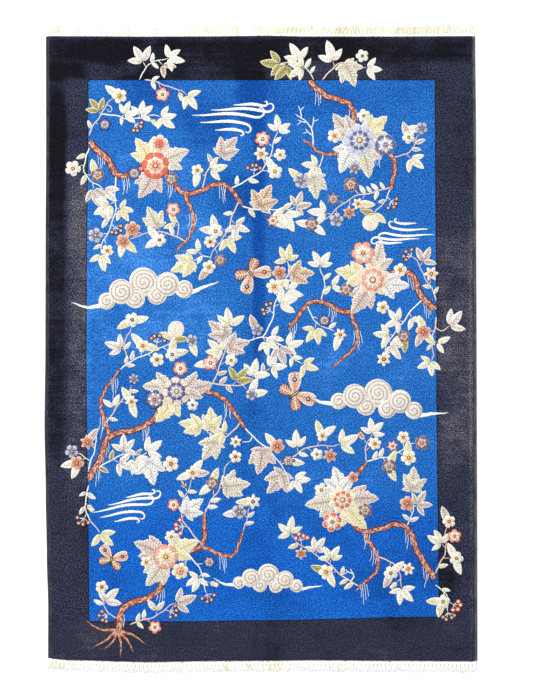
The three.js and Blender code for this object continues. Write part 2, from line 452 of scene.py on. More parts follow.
def ribbon(
    path: Array,
    half: Array,
    across: tuple[float, ...],
    heights: tuple[float, ...],
    ground: Callable[[Array, Array], Array],
    marks: float | None = None,
) -> Block:
    """A raised strip laid along a path.

    The point in row i and column j is path[i] + across[j] * half[i] * the path's left-hand normal,
    at the ground's height there plus heights[j].

    Args:
        path: its middle line in mm, one row for each point.
        half: half its width at each point, in mm.
        across: the columns, from -1 at the right side to 1 at the left.
        heights: each column's height above the ground, in mm.
        ground: the height of what the strip lies on.
        marks: pattern repeats along it, or None for its length in mm.

    Returns:
        The closed strip. Its pattern is the place along it and across it.
    """
    along = np.gradient(path, axis=0)
    along /= np.maximum(np.linalg.norm(along, axis=1, keepdims=True), 1e-9)
    left = np.stack([-along[:, 1], along[:, 0]], -1)
    columns = np.array(across)
    flat = path[:, None] + columns[None, :, None] * (half[:, None] * left)[:, None]
    height = ground(flat[..., 0], flat[..., 1]) + np.array(heights)
    run = np.concatenate([[0.0], np.cumsum(np.linalg.norm(np.diff(path, axis=0), axis=1))])
    stations = run if marks is None else run / run[-1] * marks
    pattern = np.stack(np.broadcast_arrays(stations[:, None], columns[None]), -1)
    rim = (1 - np.abs(columns))[None] * half[:, None]
    corners, sizes = strip_faces(len(path), len(columns))
    points = np.concatenate([flat, height[..., None]], -1).reshape(-1, 3)
    return Block(points, corners, sizes, pattern.reshape(-1, 2), rim.reshape(-1))


def rosette(
    centre: Sequence[float],
    radius: float,
    petals: int,
    notch: float,
    pointed: bool,
    turn: float,
    heights: tuple[float, float, float],
    ground: Callable[[Array, Array], Array],
) -> Block:
    """A raised round motif with scalloped or pointed petals.

    Its edge lies at radius * (1 - notch + notch * p), where p goes from 0 between two petals to 1
    at a petal's middle: the square root of |cos| for round petals, and a straight ramp for
    pointed ones. The rings are that edge drawn in to fixed shares.

    Args:
        centre: its middle in mm.
        radius: to the petals' tips, in mm.
        petals: how many.
        notch: how deep it is cut between petals, as a share of the radius.
        pointed: whether the petals end in points.
        turn: its angle in radians.
        heights: of the middle and the two rings above the ground, in mm, from the middle out.
        ground: the height of what it lies on.

    Returns:
        The closed motif. Its pattern is its own flat coordinates, 1 at the petals' tips.
    """
    shares = np.array((0.93, 1.0))
    count = petals * (10 if radius > 32 or petals == 3 else 6)
    angle = np.arange(count) / count * 2 * np.pi
    wave = angle * petals / 2
    tip = 1 - 2 * np.abs((wave / np.pi + 0.5) % 1 - 0.5) if pointed else np.sqrt(np.abs(np.cos(wave)))
    edge = 1 - notch + notch * tip
    local = shares[:, None, None] * (edge[:, None] * np.stack([np.cos(angle), np.sin(angle)], -1))[None]
    local = np.concatenate([np.zeros((1, 2)), local.reshape(-1, 2)])
    spin = np.array([[math.cos(turn), math.sin(turn)], [-math.sin(turn), math.cos(turn)]])
    flat = np.array(centre) + radius * local @ spin
    lift = np.concatenate([[heights[0]], np.repeat(heights[1:], count)])
    points = np.column_stack([flat, ground(flat[:, 0], flat[:, 1]) + lift])
    rings = 1 + np.arange(len(shares) * count).reshape(len(shares), count)
    after = np.roll(rings, -1, axis=1)
    fan = np.stack([np.zeros(count, int), rings[0], after[0]], -1).reshape(-1)
    quads = np.stack([rings[:-1], rings[1:], after[1:], after[:-1]], -1).reshape(-1)
    corners = np.concatenate([fan, quads, rings[-1, ::-1]])
    sizes = np.concatenate([np.full(count, 3), np.full(quads.size // 4, 4), [count]])
    rim = np.concatenate([[1.0], ((1 - shares)[:, None] * edge[None]).reshape(-1)]) * radius
    return Block(points, corners, sizes, local, rim)


def tubes(paths: Array, radii: Array, sides: int, flatten: float = 1.0) -> Block:
    """Closed tubes along many paths of equal length at once.

    Round point k of a ring lies at path + radius * (cos a * the path's right hand
    + sin a * flatten * its upward normal), with a = 2 pi k / sides.

    Args:
        paths: tubes by points by XYZ, in mm.
        radii: tubes by points, in mm.
        sides: points in a ring.
        flatten: the rings' height as a share of their width.

    Returns:
        All tubes as one block. Its pattern is the length along in mm and the turn round.
    """
    count, steps, _ = paths.shape
    along = np.gradient(paths, axis=1)
    along /= np.maximum(np.linalg.norm(along, axis=2, keepdims=True), 1e-9)
    right = np.cross(along, [0.0, 0.0, 1.0])
    right /= np.maximum(np.linalg.norm(right, axis=2, keepdims=True), 1e-9)
    up = np.cross(right, along)
    angle = np.arange(sides) / sides * 2 * np.pi
    ring = np.cos(angle)[:, None] * right[:, :, None] + flatten * np.sin(angle)[:, None] * up[:, :, None]
    points = paths[:, :, None] + radii[:, :, None, None] * ring
    at = np.arange(count * steps * sides).reshape(count, steps, sides)
    after = np.roll(at, -1, axis=2)
    walls = np.stack([at[:, :-1], after[:, :-1], after[:, 1:], at[:, 1:]], -1).reshape(-1)
    ends = np.concatenate([at[:, 0, ::-1].reshape(-1), at[:, -1].reshape(-1)])
    corners = np.concatenate([walls, ends])
    sizes = np.concatenate([np.full(walls.size // 4, 4), np.full(2 * count, sides)])
    steps_long = np.linalg.norm(np.diff(paths, axis=1), axis=2)
    run = np.concatenate([np.zeros((count, 1)), np.cumsum(steps_long, axis=1)], axis=1)
    pattern = np.stack(np.broadcast_arrays(run[:, :, None], (angle / 2 / np.pi)[None, None]), -1)
    return Block(points.reshape(-1, 3), corners, sizes, pattern.reshape(-1, 2), np.zeros(at.size))


def placed(name: str, data: bpy.types.ID) -> bpy.types.Object:
    """A new object in the scene, at the origin.

    Args:
        name: its name.
        data: its mesh, lamp or camera.

    Returns:
        The object.
    """
    made = bpy.data.objects.new(name, data)
    bpy.context.scene.collection.objects.link(made)
    return made


@dataclass
class Piece:
    """Gathers closed blocks into one mesh object."""

    name: str
    blocks: list[Block] = field(default_factory=list)
    ways: list[Colourway] = field(default_factory=list)
    petals: list[float] = field(default_factory=list)

    def add(self, block: Block, way: Colourway, petals: float = 1.0) -> None:
        """Adds a block in its dyes.

        Args:
            block: the closed shape.
            way: its dyes.
            petals: the number that its pattern repeats by round its middle.
        """
        self.blocks.append(block)
        self.ways.append(way)
        self.petals.append(petals)

    def make(self, shift: Array, material: bpy.types.Material) -> bpy.types.Object:
        """Joins the blocks into an object that rides on the rug.

        Args:
            shift: from the plan's middle to the frame's origin, in mm.
            material: its finish.

        Returns:
            The object, with its pattern map, its distance from each rim and its dyes.
        """
        counts = [len(b.points) for b in self.blocks]
        firsts = np.concatenate([[0], np.cumsum(counts)[:-1]])
        points = np.concatenate([b.points for b in self.blocks]) + shift
        corners = np.concatenate([b.corners + f for b, f in zip(self.blocks, firsts)])
        sizes = np.concatenate([b.sizes for b in self.blocks])
        pattern = np.concatenate([b.pattern for b in self.blocks])
        mesh = bpy.data.meshes.new(self.name)
        mesh.vertices.add(len(points))
        mesh.vertices.foreach_set("co", (points * MM).ravel())
        mesh.loops.add(len(corners))
        mesh.loops.foreach_set("vertex_index", corners.astype(np.int32))
        mesh.polygons.add(len(sizes))
        mesh.polygons.foreach_set("loop_start", np.concatenate([[0], np.cumsum(sizes)[:-1]]).astype(np.int32))
        mesh.polygons.foreach_set("loop_total", sizes.astype(np.int32))
        mesh.update(calc_edges=True)
        mesh.polygons.foreach_set("use_smooth", np.full(len(sizes), True))
        mesh.uv_layers.new(name="pattern").data.foreach_set("uv", pattern[corners].ravel())
        self.note(mesh, "rim", np.concatenate([b.rim for b in self.blocks]))
        self.note(mesh, "petals", np.repeat(self.petals, counts))
        for part in ("rim", "fill", "vein"):
            dyes = np.array([getattr(way, part).linear() for way in self.ways])
            layer = mesh.attributes.new(part + "_dye", "FLOAT_COLOR", "POINT")
            layer.data.foreach_set("color", np.repeat(dyes, counts, axis=0).ravel())
        mesh.materials.append(material)
        made = placed(self.name, mesh)
        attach(made, "root")
        log.info("%s: %d blocks, %d faces", self.name, len(self.blocks), len(sizes))
        return made

    @staticmethod
    def note(mesh: bpy.types.Mesh, name: str, values: Array) -> None:
        """Writes one number a point into the mesh."""
        mesh.attributes.new(name, "FLOAT", "POINT").data.foreach_set("value", values.astype(np.float32))


@dataclass
class Nodes:
    """Writes shader nodes. Where it takes a value, a number, a colour or a socket will do."""

    tree: bpy.types.NodeTree

    def feed(self, socket: Socket, value: object) -> None:
        """Joins a socket to a value.

        Args:
            socket: what takes it.
            value: another node's socket, or a number or colour.
        """
        if isinstance(value, bpy.types.NodeSocket):
            self.tree.links.new(value, socket)
        else:
            socket.default_value = value

    def add(self, kind: str, inputs: dict[str | int, object] | None = None, **settings: object) -> Node:
        """A new node.

        Args:
            kind: its type, without the word ShaderNode.
            inputs: what its inputs take, by their names or numbers.
            **settings: its own settings.

        Returns:
            The node.
        """
        node = self.tree.nodes.new("ShaderNode" + kind)
        for name, value in settings.items():
            setattr(node, name, value)
        for key, value in (inputs or {}).items():
            self.feed(node.inputs[key], value)
        return node

    def math(self, operation: str, *values: object) -> Socket:
        """One step of arithmetic, called by the Math node's own word for it."""
        return self.add("Math", dict(enumerate(values)), operation=operation).outputs[0]

    def times(self, value: object, factor: object) -> Socket:
        """A product."""
        return self.math("MULTIPLY", value, factor)

    def onto(self, value: object, share: object, base: object) -> Socket:
        """The value times a share, added to a base."""
        return self.math("MULTIPLY_ADD", value, share, base)

    def swing(self, value: object, share: object, base: object) -> Socket:
        """Noise taken about nought, times a share, added to a base."""
        return self.onto(self.math("SUBTRACT", value, 0.5), share, base)

    def ease(self, value: object, low: float, high: float) -> Socket:
        """A smooth step: 0 up to low and 1 from high, which may be the lesser of the two."""
        span = {"Value": value, "From Min": low, "From Max": high}
        return self.add("MapRange", span, interpolation_type="SMOOTHSTEP").outputs["Result"]

    def blend(self, share: object, low: object, high: object) -> Socket:
        """A colour between two others, with that share of the second."""
        return self.add("Mix", {0: share, 6: low, 7: high}, data_type="RGBA", blend_type="MIX").outputs[2]

    def noted(self, name: str, output: str = "Fac") -> Socket:
        """What the mesh notes at each point under a name."""
        return self.add("Attribute", attribute_name=name).outputs[output]

    def dye(self, part: str) -> Socket:
        """One of the motif's three dyes: rim, fill or vein."""
        return self.noted(part + "_dye", "Color")

    def place(self) -> Socket:
        """The point's place on the piece."""
        return self.add("TexCoord").outputs["Object"]

    def axes(self, place: Socket) -> tuple[Socket, Socket]:
        """A place's X and Y."""
        node = self.add("SeparateXYZ", {0: place})
        return node.outputs["X"], node.outputs["Y"]

    def drawn_place(self) -> Socket:
        """The point's place on the motif's own pattern map."""
        return self.add("UVMap", uv_map="pattern").outputs[0]

    def length_place(self) -> Socket:
        """The point's place along the rug, in metres from the middle."""
        return self.axes(self.place())[1]

    def noise(self, place: object, scale: float, detail: float = 2.0, kind: str = "3D") -> Socket:
        """Smooth noise about 0.5, of scale waves to a metre and detail finer layers."""
        inputs = {"Vector": place, "Scale": scale, "Detail": detail}
        return self.add("TexNoise", inputs, noise_dimensions=kind).outputs[0]

    def stretched(self, place: object, x: float, y: float) -> Socket:
        """A place scaled along its axes."""
        return self.add("Mapping", {"Vector": place, "Scale": (x, y, 1.0)}).outputs["Vector"]

    def round_about(self, x: Socket, y: Socket) -> tuple[Socket, Socket]:
        """The distance from the middle, and the angle in whole turns."""
        squares = self.onto(x, x, self.times(y, y))
        return self.math("SQRT", squares), self.math("DIVIDE", self.math("ARCTAN2", y, x), 2 * math.pi)

    def line(self, value: object, wide: float) -> Socket:
        """Lines at the whole numbers of a value, that share of it wide."""
        off = self.math("ABSOLUTE", self.math("SUBTRACT", self.math("FRACT", value), 0.5))
        return self.ease(off, 0.5 - wide, 0.5 - wide * 0.4)


def blank_finish(name: str) -> tuple[bpy.types.Material, Nodes, Node]:
    """A new material.

    Args:
        name: its name.

    Returns:
        The material, a writer of its nodes, and its shader.
    """
    made = bpy.data.materials.new(name)
    made.use_nodes = True
    return made, Nodes(made.node_tree), made.node_tree.nodes["Principled BSDF"]


class KnottedWool:
    """The pile's knots, as a node group: each tuft's own tone, the shade between tufts, and fibres."""

    pitch = 3.1 * MM

    def __init__(self) -> None:
        """Builds the group once.

        The tone is the tuft's own, less the shade between tufts, with its fibres, slubs and clumps.
        It scales the colour by (1 + 0.45 tone) to the power of 2.2.
        """
        tree = bpy.data.node_groups.new("knotted_wool", "ShaderNodeTree")
        for name, kind in (("Place", "Vector"), ("Colour", "Color"), ("Melange", "Float")):
            tree.interface.new_socket(name, in_out="INPUT", socket_type="NodeSocket" + kind)
        for name, kind in (("Colour", "Color"), ("Height", "Float"), ("Roughness", "Float")):
            tree.interface.new_socket(name, in_out="OUTPUT", socket_type="NodeSocket" + kind)
        nodes = Nodes(tree)
        given = tree.nodes.new("NodeGroupInput").outputs
        cells = {"Vector": given["Place"], "Scale": 1 / self.pitch, "Randomness": 0.75}
        tufts = nodes.add("TexVoronoi", cells, voronoi_dimensions="2D", feature="F1")
        own = nodes.add("SeparateColor", {0: tufts.outputs["Color"]})
        tone = nodes.times(nodes.math("SUBTRACT", own.outputs[0], 0.5), given["Melange"])
        tone = nodes.times(tone, 0.55)
        fibre = nodes.noise(nodes.stretched(given["Place"], 1.0, 0.35), 1500.0)
        slub = nodes.noise(given["Place"], 70.0, 3.0)
        clump = nodes.noise(given["Place"], 300.0, 0.0, "2D")
        tone = nodes.onto(nodes.ease(tufts.outputs["Distance"], 0.3, 0.8), -0.3, tone)
        tone = nodes.swing(fibre, 0.35, tone)
        tone = nodes.swing(slub, 0.15, tone)
        grain = nodes.times(given["Melange"], 3.2)
        tone = nodes.swing(clump, grain, tone)
        lifted = nodes.math("MAXIMUM", nodes.onto(tone, 0.45, 1), 0.2)
        light = nodes.math("POWER", lifted, 2.2)
        scaled = nodes.add("VectorMath", {0: given["Colour"], "Scale": light}, operation="SCALE")
        height = nodes.times(tufts.outputs["Distance"], -1.0)
        height = nodes.onto(fibre, 0.5, height)
        height = nodes.onto(own.outputs[1], 0.35, height)
        taken = tree.nodes.new("NodeGroupOutput").inputs
        nodes.feed(taken["Colour"], scaled.outputs[0])
        nodes.feed(taken["Height"], height)
        nodes.feed(taken["Roughness"], nodes.onto(own.outputs[2], 0.12, 0.8))
        self.tree = tree


@dataclass(frozen=True)
class Wool:
    """A knotted wool finish. Each kind draws its own pattern under the knots."""

    name: str
    knots: KnottedWool
    melange: float = 0.3
    # carved: how far the painted shade along a motif's carved edge darkens it
    carved: float = 0.5
    relief: float = 0.8 * MM
    depth: float = 0.6
    gloss: float = 0.08
    sheen: float = 0.04
    sheen_roughness: float = 0.5
    groove = (1.9, 0.7)  # mm from the rim, where the painted shade along the carved edge begins and is full
    outline = (3.5, 2.5)  # the same for the outline

    def pattern(self, nodes: Nodes) -> Socket:
        """The colour under the knots: the fill dye alone."""
        return nodes.dye("fill")

    def heather(self, nodes: Nodes) -> float | Socket:
        """How far the tufts' tones stray: the melange, the same all over."""
        return self.melange

    def outlined(self, nodes: Nodes, colour: Socket) -> Socket:
        """The colour with the rim dye along its outline."""
        return nodes.blend(nodes.ease(nodes.noted("rim"), *self.outline), colour, nodes.dye("rim"))

    def material(self) -> bpy.types.Material:
        """Lays the pattern, with painted shade along its carved edges, knotted, on a rough shader with a
        slight sheen.

        Returns:
            The finish as a material.
        """
        made, nodes, shader = blank_finish(self.name)
        knots = nodes.add("Group", node_tree=self.knots.tree)
        nodes.feed(knots.inputs["Place"], nodes.place())
        # Painted shade along the carved edge: the colour darkens towards charcoal near the rim.
        edge = nodes.times(nodes.ease(nodes.noted("rim"), *self.groove), self.carved)
        colour = nodes.blend(edge, self.pattern(nodes), Dye.CHARCOAL_DEEP.linear())
        nodes.feed(knots.inputs["Colour"], colour)
        nodes.feed(knots.inputs["Melange"], self.heather(nodes))
        height = knots.outputs["Height"]
        bump = nodes.add("Bump", {"Strength": self.depth, "Distance": self.relief, "Height": height})
        nodes.feed(shader.inputs["Base Color"], knots.outputs["Colour"])
        nodes.feed(shader.inputs["Roughness"], knots.outputs["Roughness"])
        nodes.feed(shader.inputs["Normal"], bump.outputs["Normal"])
        shader.inputs["Specular IOR Level"].default_value = self.gloss
        shader.inputs["Sheen Weight"].default_value = self.sheen
        shader.inputs["Sheen Roughness"].default_value = self.sheen_roughness
        return made


class GroundWool(Wool):
    """The ground: cobalt field and charcoal border, each with painted nap light and shade."""

    def pattern(self, nodes: Nodes) -> Socket:
        """The two grounds, parted at the field's edge, with painted nap light and shade from the patches and
        from noise, and a darker blue towards the bottom end.

        Args:
            nodes: writes the material.

        Returns:
            The colour.
        """
        place = nodes.place()
        # Painted nap light and shade: the patches' table, with clouds, streaks and blotches of noise, moves
        # each ground towards its dark or pale dye.
        cloudy = nodes.noise(place, 7.0, 4.0)
        streaks = nodes.noise(nodes.stretched(place, 2.5, 90.0), 1.0, 2.0)
        blotch = nodes.noise(place, 42.0, 3.0)
        nap_light_shade = nodes.onto(nodes.noted("nap_light_shade"), 0.5, 0.5)
        nap_light_shade = nodes.swing(cloudy, 0.9, nap_light_shade)
        nap_light_shade = nodes.swing(streaks, 0.35, nap_light_shade)
        nap_light_shade = nodes.swing(blotch, 0.45, nap_light_shade)
        dark, light = nodes.ease(nap_light_shade, 0.5, -0.1), nodes.ease(nap_light_shade, 0.5, 1.1)
        # Painted nap shade: the field's blue darkens towards the bottom end.
        shaded_end = nodes.ease(nodes.length_place(), -0.25, -0.6)
        cobalt = nodes.blend(shaded_end, Dye.COBALT.linear(), Dye.COBALT_SHADED_END.linear())
        grounds = []
        for middle, deep, pale in (
            (Dye.CHARCOAL.linear(), Dye.CHARCOAL_DEEP, Dye.CHARCOAL_LIGHT),
            (cobalt, Dye.COBALT_DEEP, Dye.COBALT_LIGHT),
        ):
            toned = nodes.blend(dark, middle, deep.linear())
            grounds.append(nodes.blend(light, toned, pale.linear()))
        depth = nodes.noted("field_depth")
        line = nodes.times(nodes.ease(depth, -4.0, -2.5), 0.6)
        grounds[0] = nodes.blend(line, grounds[0], Dye.CHARCOAL_DEEP.linear())
        return nodes.blend(nodes.ease(depth, -0.6, 0.6), *grounds)

    def heather(self, nodes: Nodes) -> Socket:
        """The melange in the field, and more in the border, whose dark dye mutes it.

        The bottom border, whose nap leans away from the lamp, keeps the field's share.

        Args:
            nodes: writes the material.

        Returns:
            How far the tufts' tones stray.
        """
        outside = nodes.ease(nodes.noted("field_depth"), 1, -1)
        share = nodes.times(outside, nodes.ease(nodes.length_place(), -0.81, -0.75))
        return nodes.onto(share, 0.45, self.melange)


class LeafWool(Wool):
    """Leaves: a pale outline, a fill that darkens to the midrib, slanting veins and base streaks."""

    def pattern(self, nodes: Nodes) -> Socket:
        """Draws the veins from the pattern map, where u counts side veins and v goes across.

        Args:
            nodes: writes the material.

        Returns:
            The colour.
        """
        u, v = nodes.axes(nodes.drawn_place())
        place = nodes.place()
        along = nodes.onto(nodes.noise(place, 150.0, 1.0), 0.5, u)
        side = nodes.math("ABSOLUTE", v)
        slant = nodes.onto(side, -1.3, along)
        veins = nodes.times(nodes.line(slant, 0.22), nodes.ease(side, 0.86, 0.6))
        veins = nodes.math("MAXIMUM", veins, nodes.ease(side, 0.16, 0.05))
        shaken = nodes.times(nodes.noise(place, 210.0, 1.0), 0.7)
        fan = nodes.onto(side, 3.4, shaken)
        streaks = nodes.times(nodes.line(fan, 0.34), nodes.ease(u, 2.3, 0.7))
        veins = nodes.math("MAXIMUM", veins, nodes.times(streaks, 0.8))
        specks = nodes.ease(nodes.noise(place, 380.0, 1.0), 0.54, 0.62)
        vein = nodes.dye("vein")
        shade = nodes.times(nodes.ease(side, 0.8, 0.0), 0.12)
        shade = nodes.onto(nodes.ease(u, 1.9, 0.3), 0.35, shade)
        shade = nodes.onto(specks, 0.16, shade)
        colour = nodes.blend(shade, nodes.dye("fill"), vein)
        return self.outlined(nodes, nodes.blend(nodes.times(veins, 0.8), colour, vein))


class BloomWool(Wool):
    """Blossoms: an outline, lines between the petals, and strokes that run out from the heart."""

    outline = (4.4, 3.0)

    def pattern(self, nodes: Nodes) -> Socket:
        """Draws in the motif's own angle and radius, read from the pattern map.

        Args:
            nodes: writes the material.

        Returns:
            The colour.
        """
        out, turn = nodes.round_about(*nodes.axes(nodes.drawn_place()))
        phase = nodes.times(turn, nodes.noted("petals"))
        parting = nodes.line(nodes.math("ADD", phase, 0.5), 0.09)
        strokes = nodes.line(nodes.times(phase, 3.0), 0.26)
        reach = nodes.times(nodes.ease(out, 0.72, 0.5), nodes.ease(out, 0.2, 0.3))
        vein = nodes.dye("vein")
        colour = nodes.blend(nodes.times(nodes.ease(out, 0.6, 0.15), 0.5), nodes.dye("fill"), vein)
        colour = nodes.blend(nodes.times(strokes, reach), colour, vein)
        colour = nodes.blend(nodes.times(parting, nodes.ease(out, 0.15, 0.3)), colour, vein)
        return self.outlined(nodes, colour)


class ScrollWool(Wool):
    """Cloud scrolls: pale lobes with one spiral line each."""

    outline = (3.6, 2.4)

    def pattern(self, nodes: Nodes) -> Socket:
        """Lines where the turns counted outwards and the angle's share of a turn add up to a whole.

        Args:
            nodes: writes the material.

        Returns:
            The colour.
        """
        out, turn = nodes.round_about(*nodes.axes(nodes.drawn_place()))
        wound = nodes.onto(out, nodes.noted("petals"), turn)
        shaken = nodes.onto(nodes.noise(nodes.place(), 45.0), 0.5, wound)
        spiral = nodes.times(nodes.line(shaken, 0.22), 0.85)
        return self.outlined(nodes, nodes.blend(spiral, nodes.dye("fill"), nodes.dye("vein")))


class BarkWool(Wool):
    """Boughs: dark edges round a brick middle with short pale strokes and dark flecks."""

    def pattern(self, nodes: Nodes) -> Socket:
        """Edges by the place across, strokes and flecks by noise drawn out along the bough.

        Args:
            nodes: writes the material.

        Returns:
            The colour.
        """
        place = nodes.drawn_place()
        side = nodes.math("ABSOLUTE", nodes.axes(place)[1])
        rough = nodes.noise(nodes.stretched(place, 0.09, 2.2), 1.0)
        flecked = nodes.noise(nodes.stretched(place, 0.3, 2.6), 1.0)
        strokes = nodes.times(nodes.ease(rough, 0.47, 0.56), nodes.ease(side, 0.62, 0.4))
        dark = nodes.ease(nodes.onto(rough, 0.5, side), 0.66, 0.9)
        colour = nodes.blend(dark, nodes.dye("fill"), nodes.dye("rim"))
        colour = nodes.blend(strokes, colour, nodes.dye("vein"))
        flecks = nodes.times(nodes.ease(flecked, 0.46, 0.38), 0.75)
        return nodes.blend(flecks, colour, nodes.dye("rim"))


class Cut(Enum):
    """Leaf outlines: how fast the width grows from the base and shrinks to the tip, and the teeth."""

    OVATE = (0.55, 0.8, 0)
    BROAD = (0.5, 0.92, 7)
    LANCE = (0.8, 0.9, 0)
    ROUND = (0.8, 0.32, 0)
    FRUIT = (0.5, 0.45, 0)

    def half(self, rows: int) -> Array:
        """Half-widths from base to tip: u^a (1-u)^b over its greatest value, and a saw for teeth.

        Args:
            rows: how many.

        Returns:
            The half-widths, 1 at the widest.
        """
        grow, shrink, teeth = self.value
        u = np.linspace(0, 1, rows)
        peak = grow / (grow + shrink)
        wide = u**grow * (1 - u) ** shrink / (peak**grow * (1 - peak) ** shrink)
        return wide * (1 - 0.3 * ((u * teeth) % 1)) if teeth else wide


class Stance(NamedTuple):
    """Where something grows, in mm, and which way it faces, in degrees."""

    x: float
    y: float
    heading: float

    def turned(self, turn: float) -> "Stance":
        """The same place, faced round by turn."""
        return Stance(self.x, self.y, self.heading + turn)

    def ahead(self, reach: float, turn: float = 0.0) -> "Stance":
        """A step of the reach times the way's cosine in X and its sine in Y.

        Args:
            reach: how far, in mm.
            turn: how far round from the heading the step goes.

        Returns:
            The place there, facing the way that was gone.
        """
        way = math.radians(self.heading + turn)
        return Stance(self.x + reach * math.cos(way), self.y + reach * math.sin(way), self.heading + turn)

    def offset(self, along: float, left: float, size: float) -> tuple[float, float]:
        """A place beside this one.

        Args:
            along: how far ahead, in mm.
            left: how far to the left, in mm.
            size: what scales both.

        Returns:
            The place, in mm.
        """
        way = math.radians(self.heading)
        cos, sin = math.cos(way) * size, math.sin(way) * size
        return self.x + along * cos - left * sin, self.y + along * sin + left * cos


class Blade(NamedTuple):
    """One leaf, petal or wing, in mm and degrees."""

    at: Stance
    length: float
    width: float
    bend: float
    cut: Cut
    way: Colourway


class Bloom(NamedTuple):
    """One round motif, in mm and degrees, at a storey from 0 for the lowest."""

    place: Sequence[float]
    radius: float
    petals: int
    notch: float
    pointed: bool
    turn: float
    way: Colourway
    storey: int = 0


class Stem(NamedTuple):
    """A bough, twig or line along a path in mm, its half-widths at root and tip, and its swell between."""

    path: Array
    root: float
    tip: float
    way: Colourway
    swell: float = 0.0
    sunk: float = 0.0


class BoughPlan(NamedTuple):
    """A bough's half-widths, the places that it passes through in mm, and its number of roots."""

    root: float
    tip: float
    route: tuple[tuple[float, float], ...]
    roots: int = 0


# The first bough of each pair starts under the border's inner edge or from roots, the second is its fork.
BOUGHS = (
    BoughPlan(13.5, 8, (
        (-488, 588), (-440, 540), (-395, 490), (-300, 520), (-215, 440), (-110, 468), (-50, 405),
    )),
    BoughPlan(9, 5, ((-215, 440), (-190, 350), (-240, 275))),
    BoughPlan(13.5, 8, (
        (-490, -372), (-455, -310), (-430, -250), (-320, -215), (-240, -120), (-120, -135), (-45, -225),
    )),
    BoughPlan(9, 5, ((-430, -250), (-455, -150), (-400, -60))),
    BoughPlan(13.5, 8, (
        (496, 110), (455, 150), (420, 215), (320, 195), (255, 105), (150, 135), (80, 55),
    )),
    BoughPlan(9, 5, ((255, 105), (275, 20), (205, -55))),
    BoughPlan(12.5, 8, ((140, 762), (180, 722), (255, 690), (280, 590), (375, 545), (370, 450))),
    BoughPlan(9, 5, ((280, 590), (190, 550), (120, 595))),
    BoughPlan(14.5, 8, (
        (-405, -800), (-388, -735), (-292, -690), (-270, -590), (-170, -560), (-160, -470),
    ), 6),
    BoughPlan(9, 5, ((-170, -560), (-85, -590), (-50, -520))),
    BoughPlan(12.5, 8, ((494, -655), (450, -585), (400, -500), (290, -520), (230, -430), (300, -325))),
    BoughPlan(9, 5, ((290, -520), (335, -615), (270, -690))),
)
FORK_WIDTH = 10.0  # a bough with a thinner root than this is a fork


class Feature(NamedTuple):
    """A large blossom with its ring of leaves, in mm."""

    at: Stance
    radius: float
    petals: int
    pointed: bool
    outer: Colourway
    inner: Colourway
    leaves: int


ROSE_WAY = Colourway(Dye.ROSE, Dye.CORAL, Dye.CORAL_PALE)
BLUSH_WAY = Colourway(Dye.CREAM, Dye.PEACH, Dye.CORAL)
APRICOT_WAY = Colourway(Dye.CREAM, Dye.PEACH, Dye.BRICK_PALE)
CORAL_WAY = Colourway(Dye.CORAL, Dye.PEACH_DEEP, Dye.CREAM)
DUSK_WAY = Colourway(Dye.MAUVE, Dye.LILAC, Dye.MAUVE_DARK)
NIGHT_WAY = Colourway(Dye.NAVY, Dye.NAVY_MID, Dye.CREAM)
STRAW_WAY = Colourway(Dye.CREAM, Dye.STRAW, Dye.OLIVE)
FLAME_WAY = Colourway(Dye.PEACH, Dye.CORAL, Dye.CREAM)
MIST_WAY = Colourway(Dye.CREAM, Dye.SLATE_PALE, Dye.SLATE)
SKY_WAY = Colourway(Dye.SLATE, Dye.NAVY_MID, Dye.CREAM)
HONEY_WAY = Colourway(Dye.CREAM, Dye.STRAW, Dye.AMBER)
FEATURES = (
    Feature(Stance(-300, 520, 20), 42, 7, False, ROSE_WAY, BLUSH_WAY, 3),
    Feature(Stance(318, 195, 65), 54, 9, True, APRICOT_WAY, CORAL_WAY, 4),
    Feature(Stance(-240, -122, 140), 44, 8, False, DUSK_WAY, NIGHT_WAY, 3),
    Feature(Stance(232, -430, 200), 46, 8, True, STRAW_WAY, FLAME_WAY, 4),
    Feature(Stance(280, 592, 305), 50, 9, False, MIST_WAY, SKY_WAY, 4),
    Feature(Stance(-270, -592, 255), 38, 7, False, CORAL_WAY, HONEY_WAY, 3),
)
FEATURE_LEAVES = (0, 3, 1, 5, 4)  # which of the leaf ways its leaves take in turn
OLIVE_LEAF, STRAW_LEAF = LEAF_WAYS[2:4]


class Spot(NamedTuple):
    """Where a cloud or a butterfly lies, and its size against the usual one."""

    at: Stance
    size: float


CLOUDS = (
    Spot(Stance(-330, 165, 8), 1.5),
    Spot(Stance(330, -150, -8), 1.45),
    Spot(Stance(20, -660, -4), 1.1),
)
WISPS = (
    Spot(Stance(-75, 655, -4), 1.1),
    Spot(Stance(-375, -455, 6), 0.95),
    Spot(Stance(400, 330, 176), 0.85),
)
BUTTERFLIES = (
    Spot(Stance(95, -130, 35), 1.1),
    Spot(Stance(-30, 215, -50), 1.05),
    Spot(Stance(-425, -600, 70), 0.85),
)


class Lobe(NamedTuple):
    """One round lobe of a cloud, in mm from its middle."""

    along: float
    left: float
    radius: float


CLOUD_LOBES = (
    Lobe(-74, -10, 17),
    Lobe(74, -8, 18),
    Lobe(-44, 4, 25),
    Lobe(44, 6, 24),
    Lobe(0, 16, 29),
    Lobe(-20, -12, 20),
    Lobe(22, -12, 19),
)


class MistLine(NamedTuple):
    """One line of a wisp of mist: where it starts along the wisp, and its length, in mm."""

    start: float
    length: float


MIST_LINES = (MistLine(62, 90), MistLine(22, 160), MistLine(0, 220), MistLine(48, 190), MistLine(104, 104))
MIST_STEPS = 33


class Crossing(NamedTuple):
    """An oval of the border that sprays may grow into, in mm."""

    x: float
    y: float
    half_x: float
    half_y: float


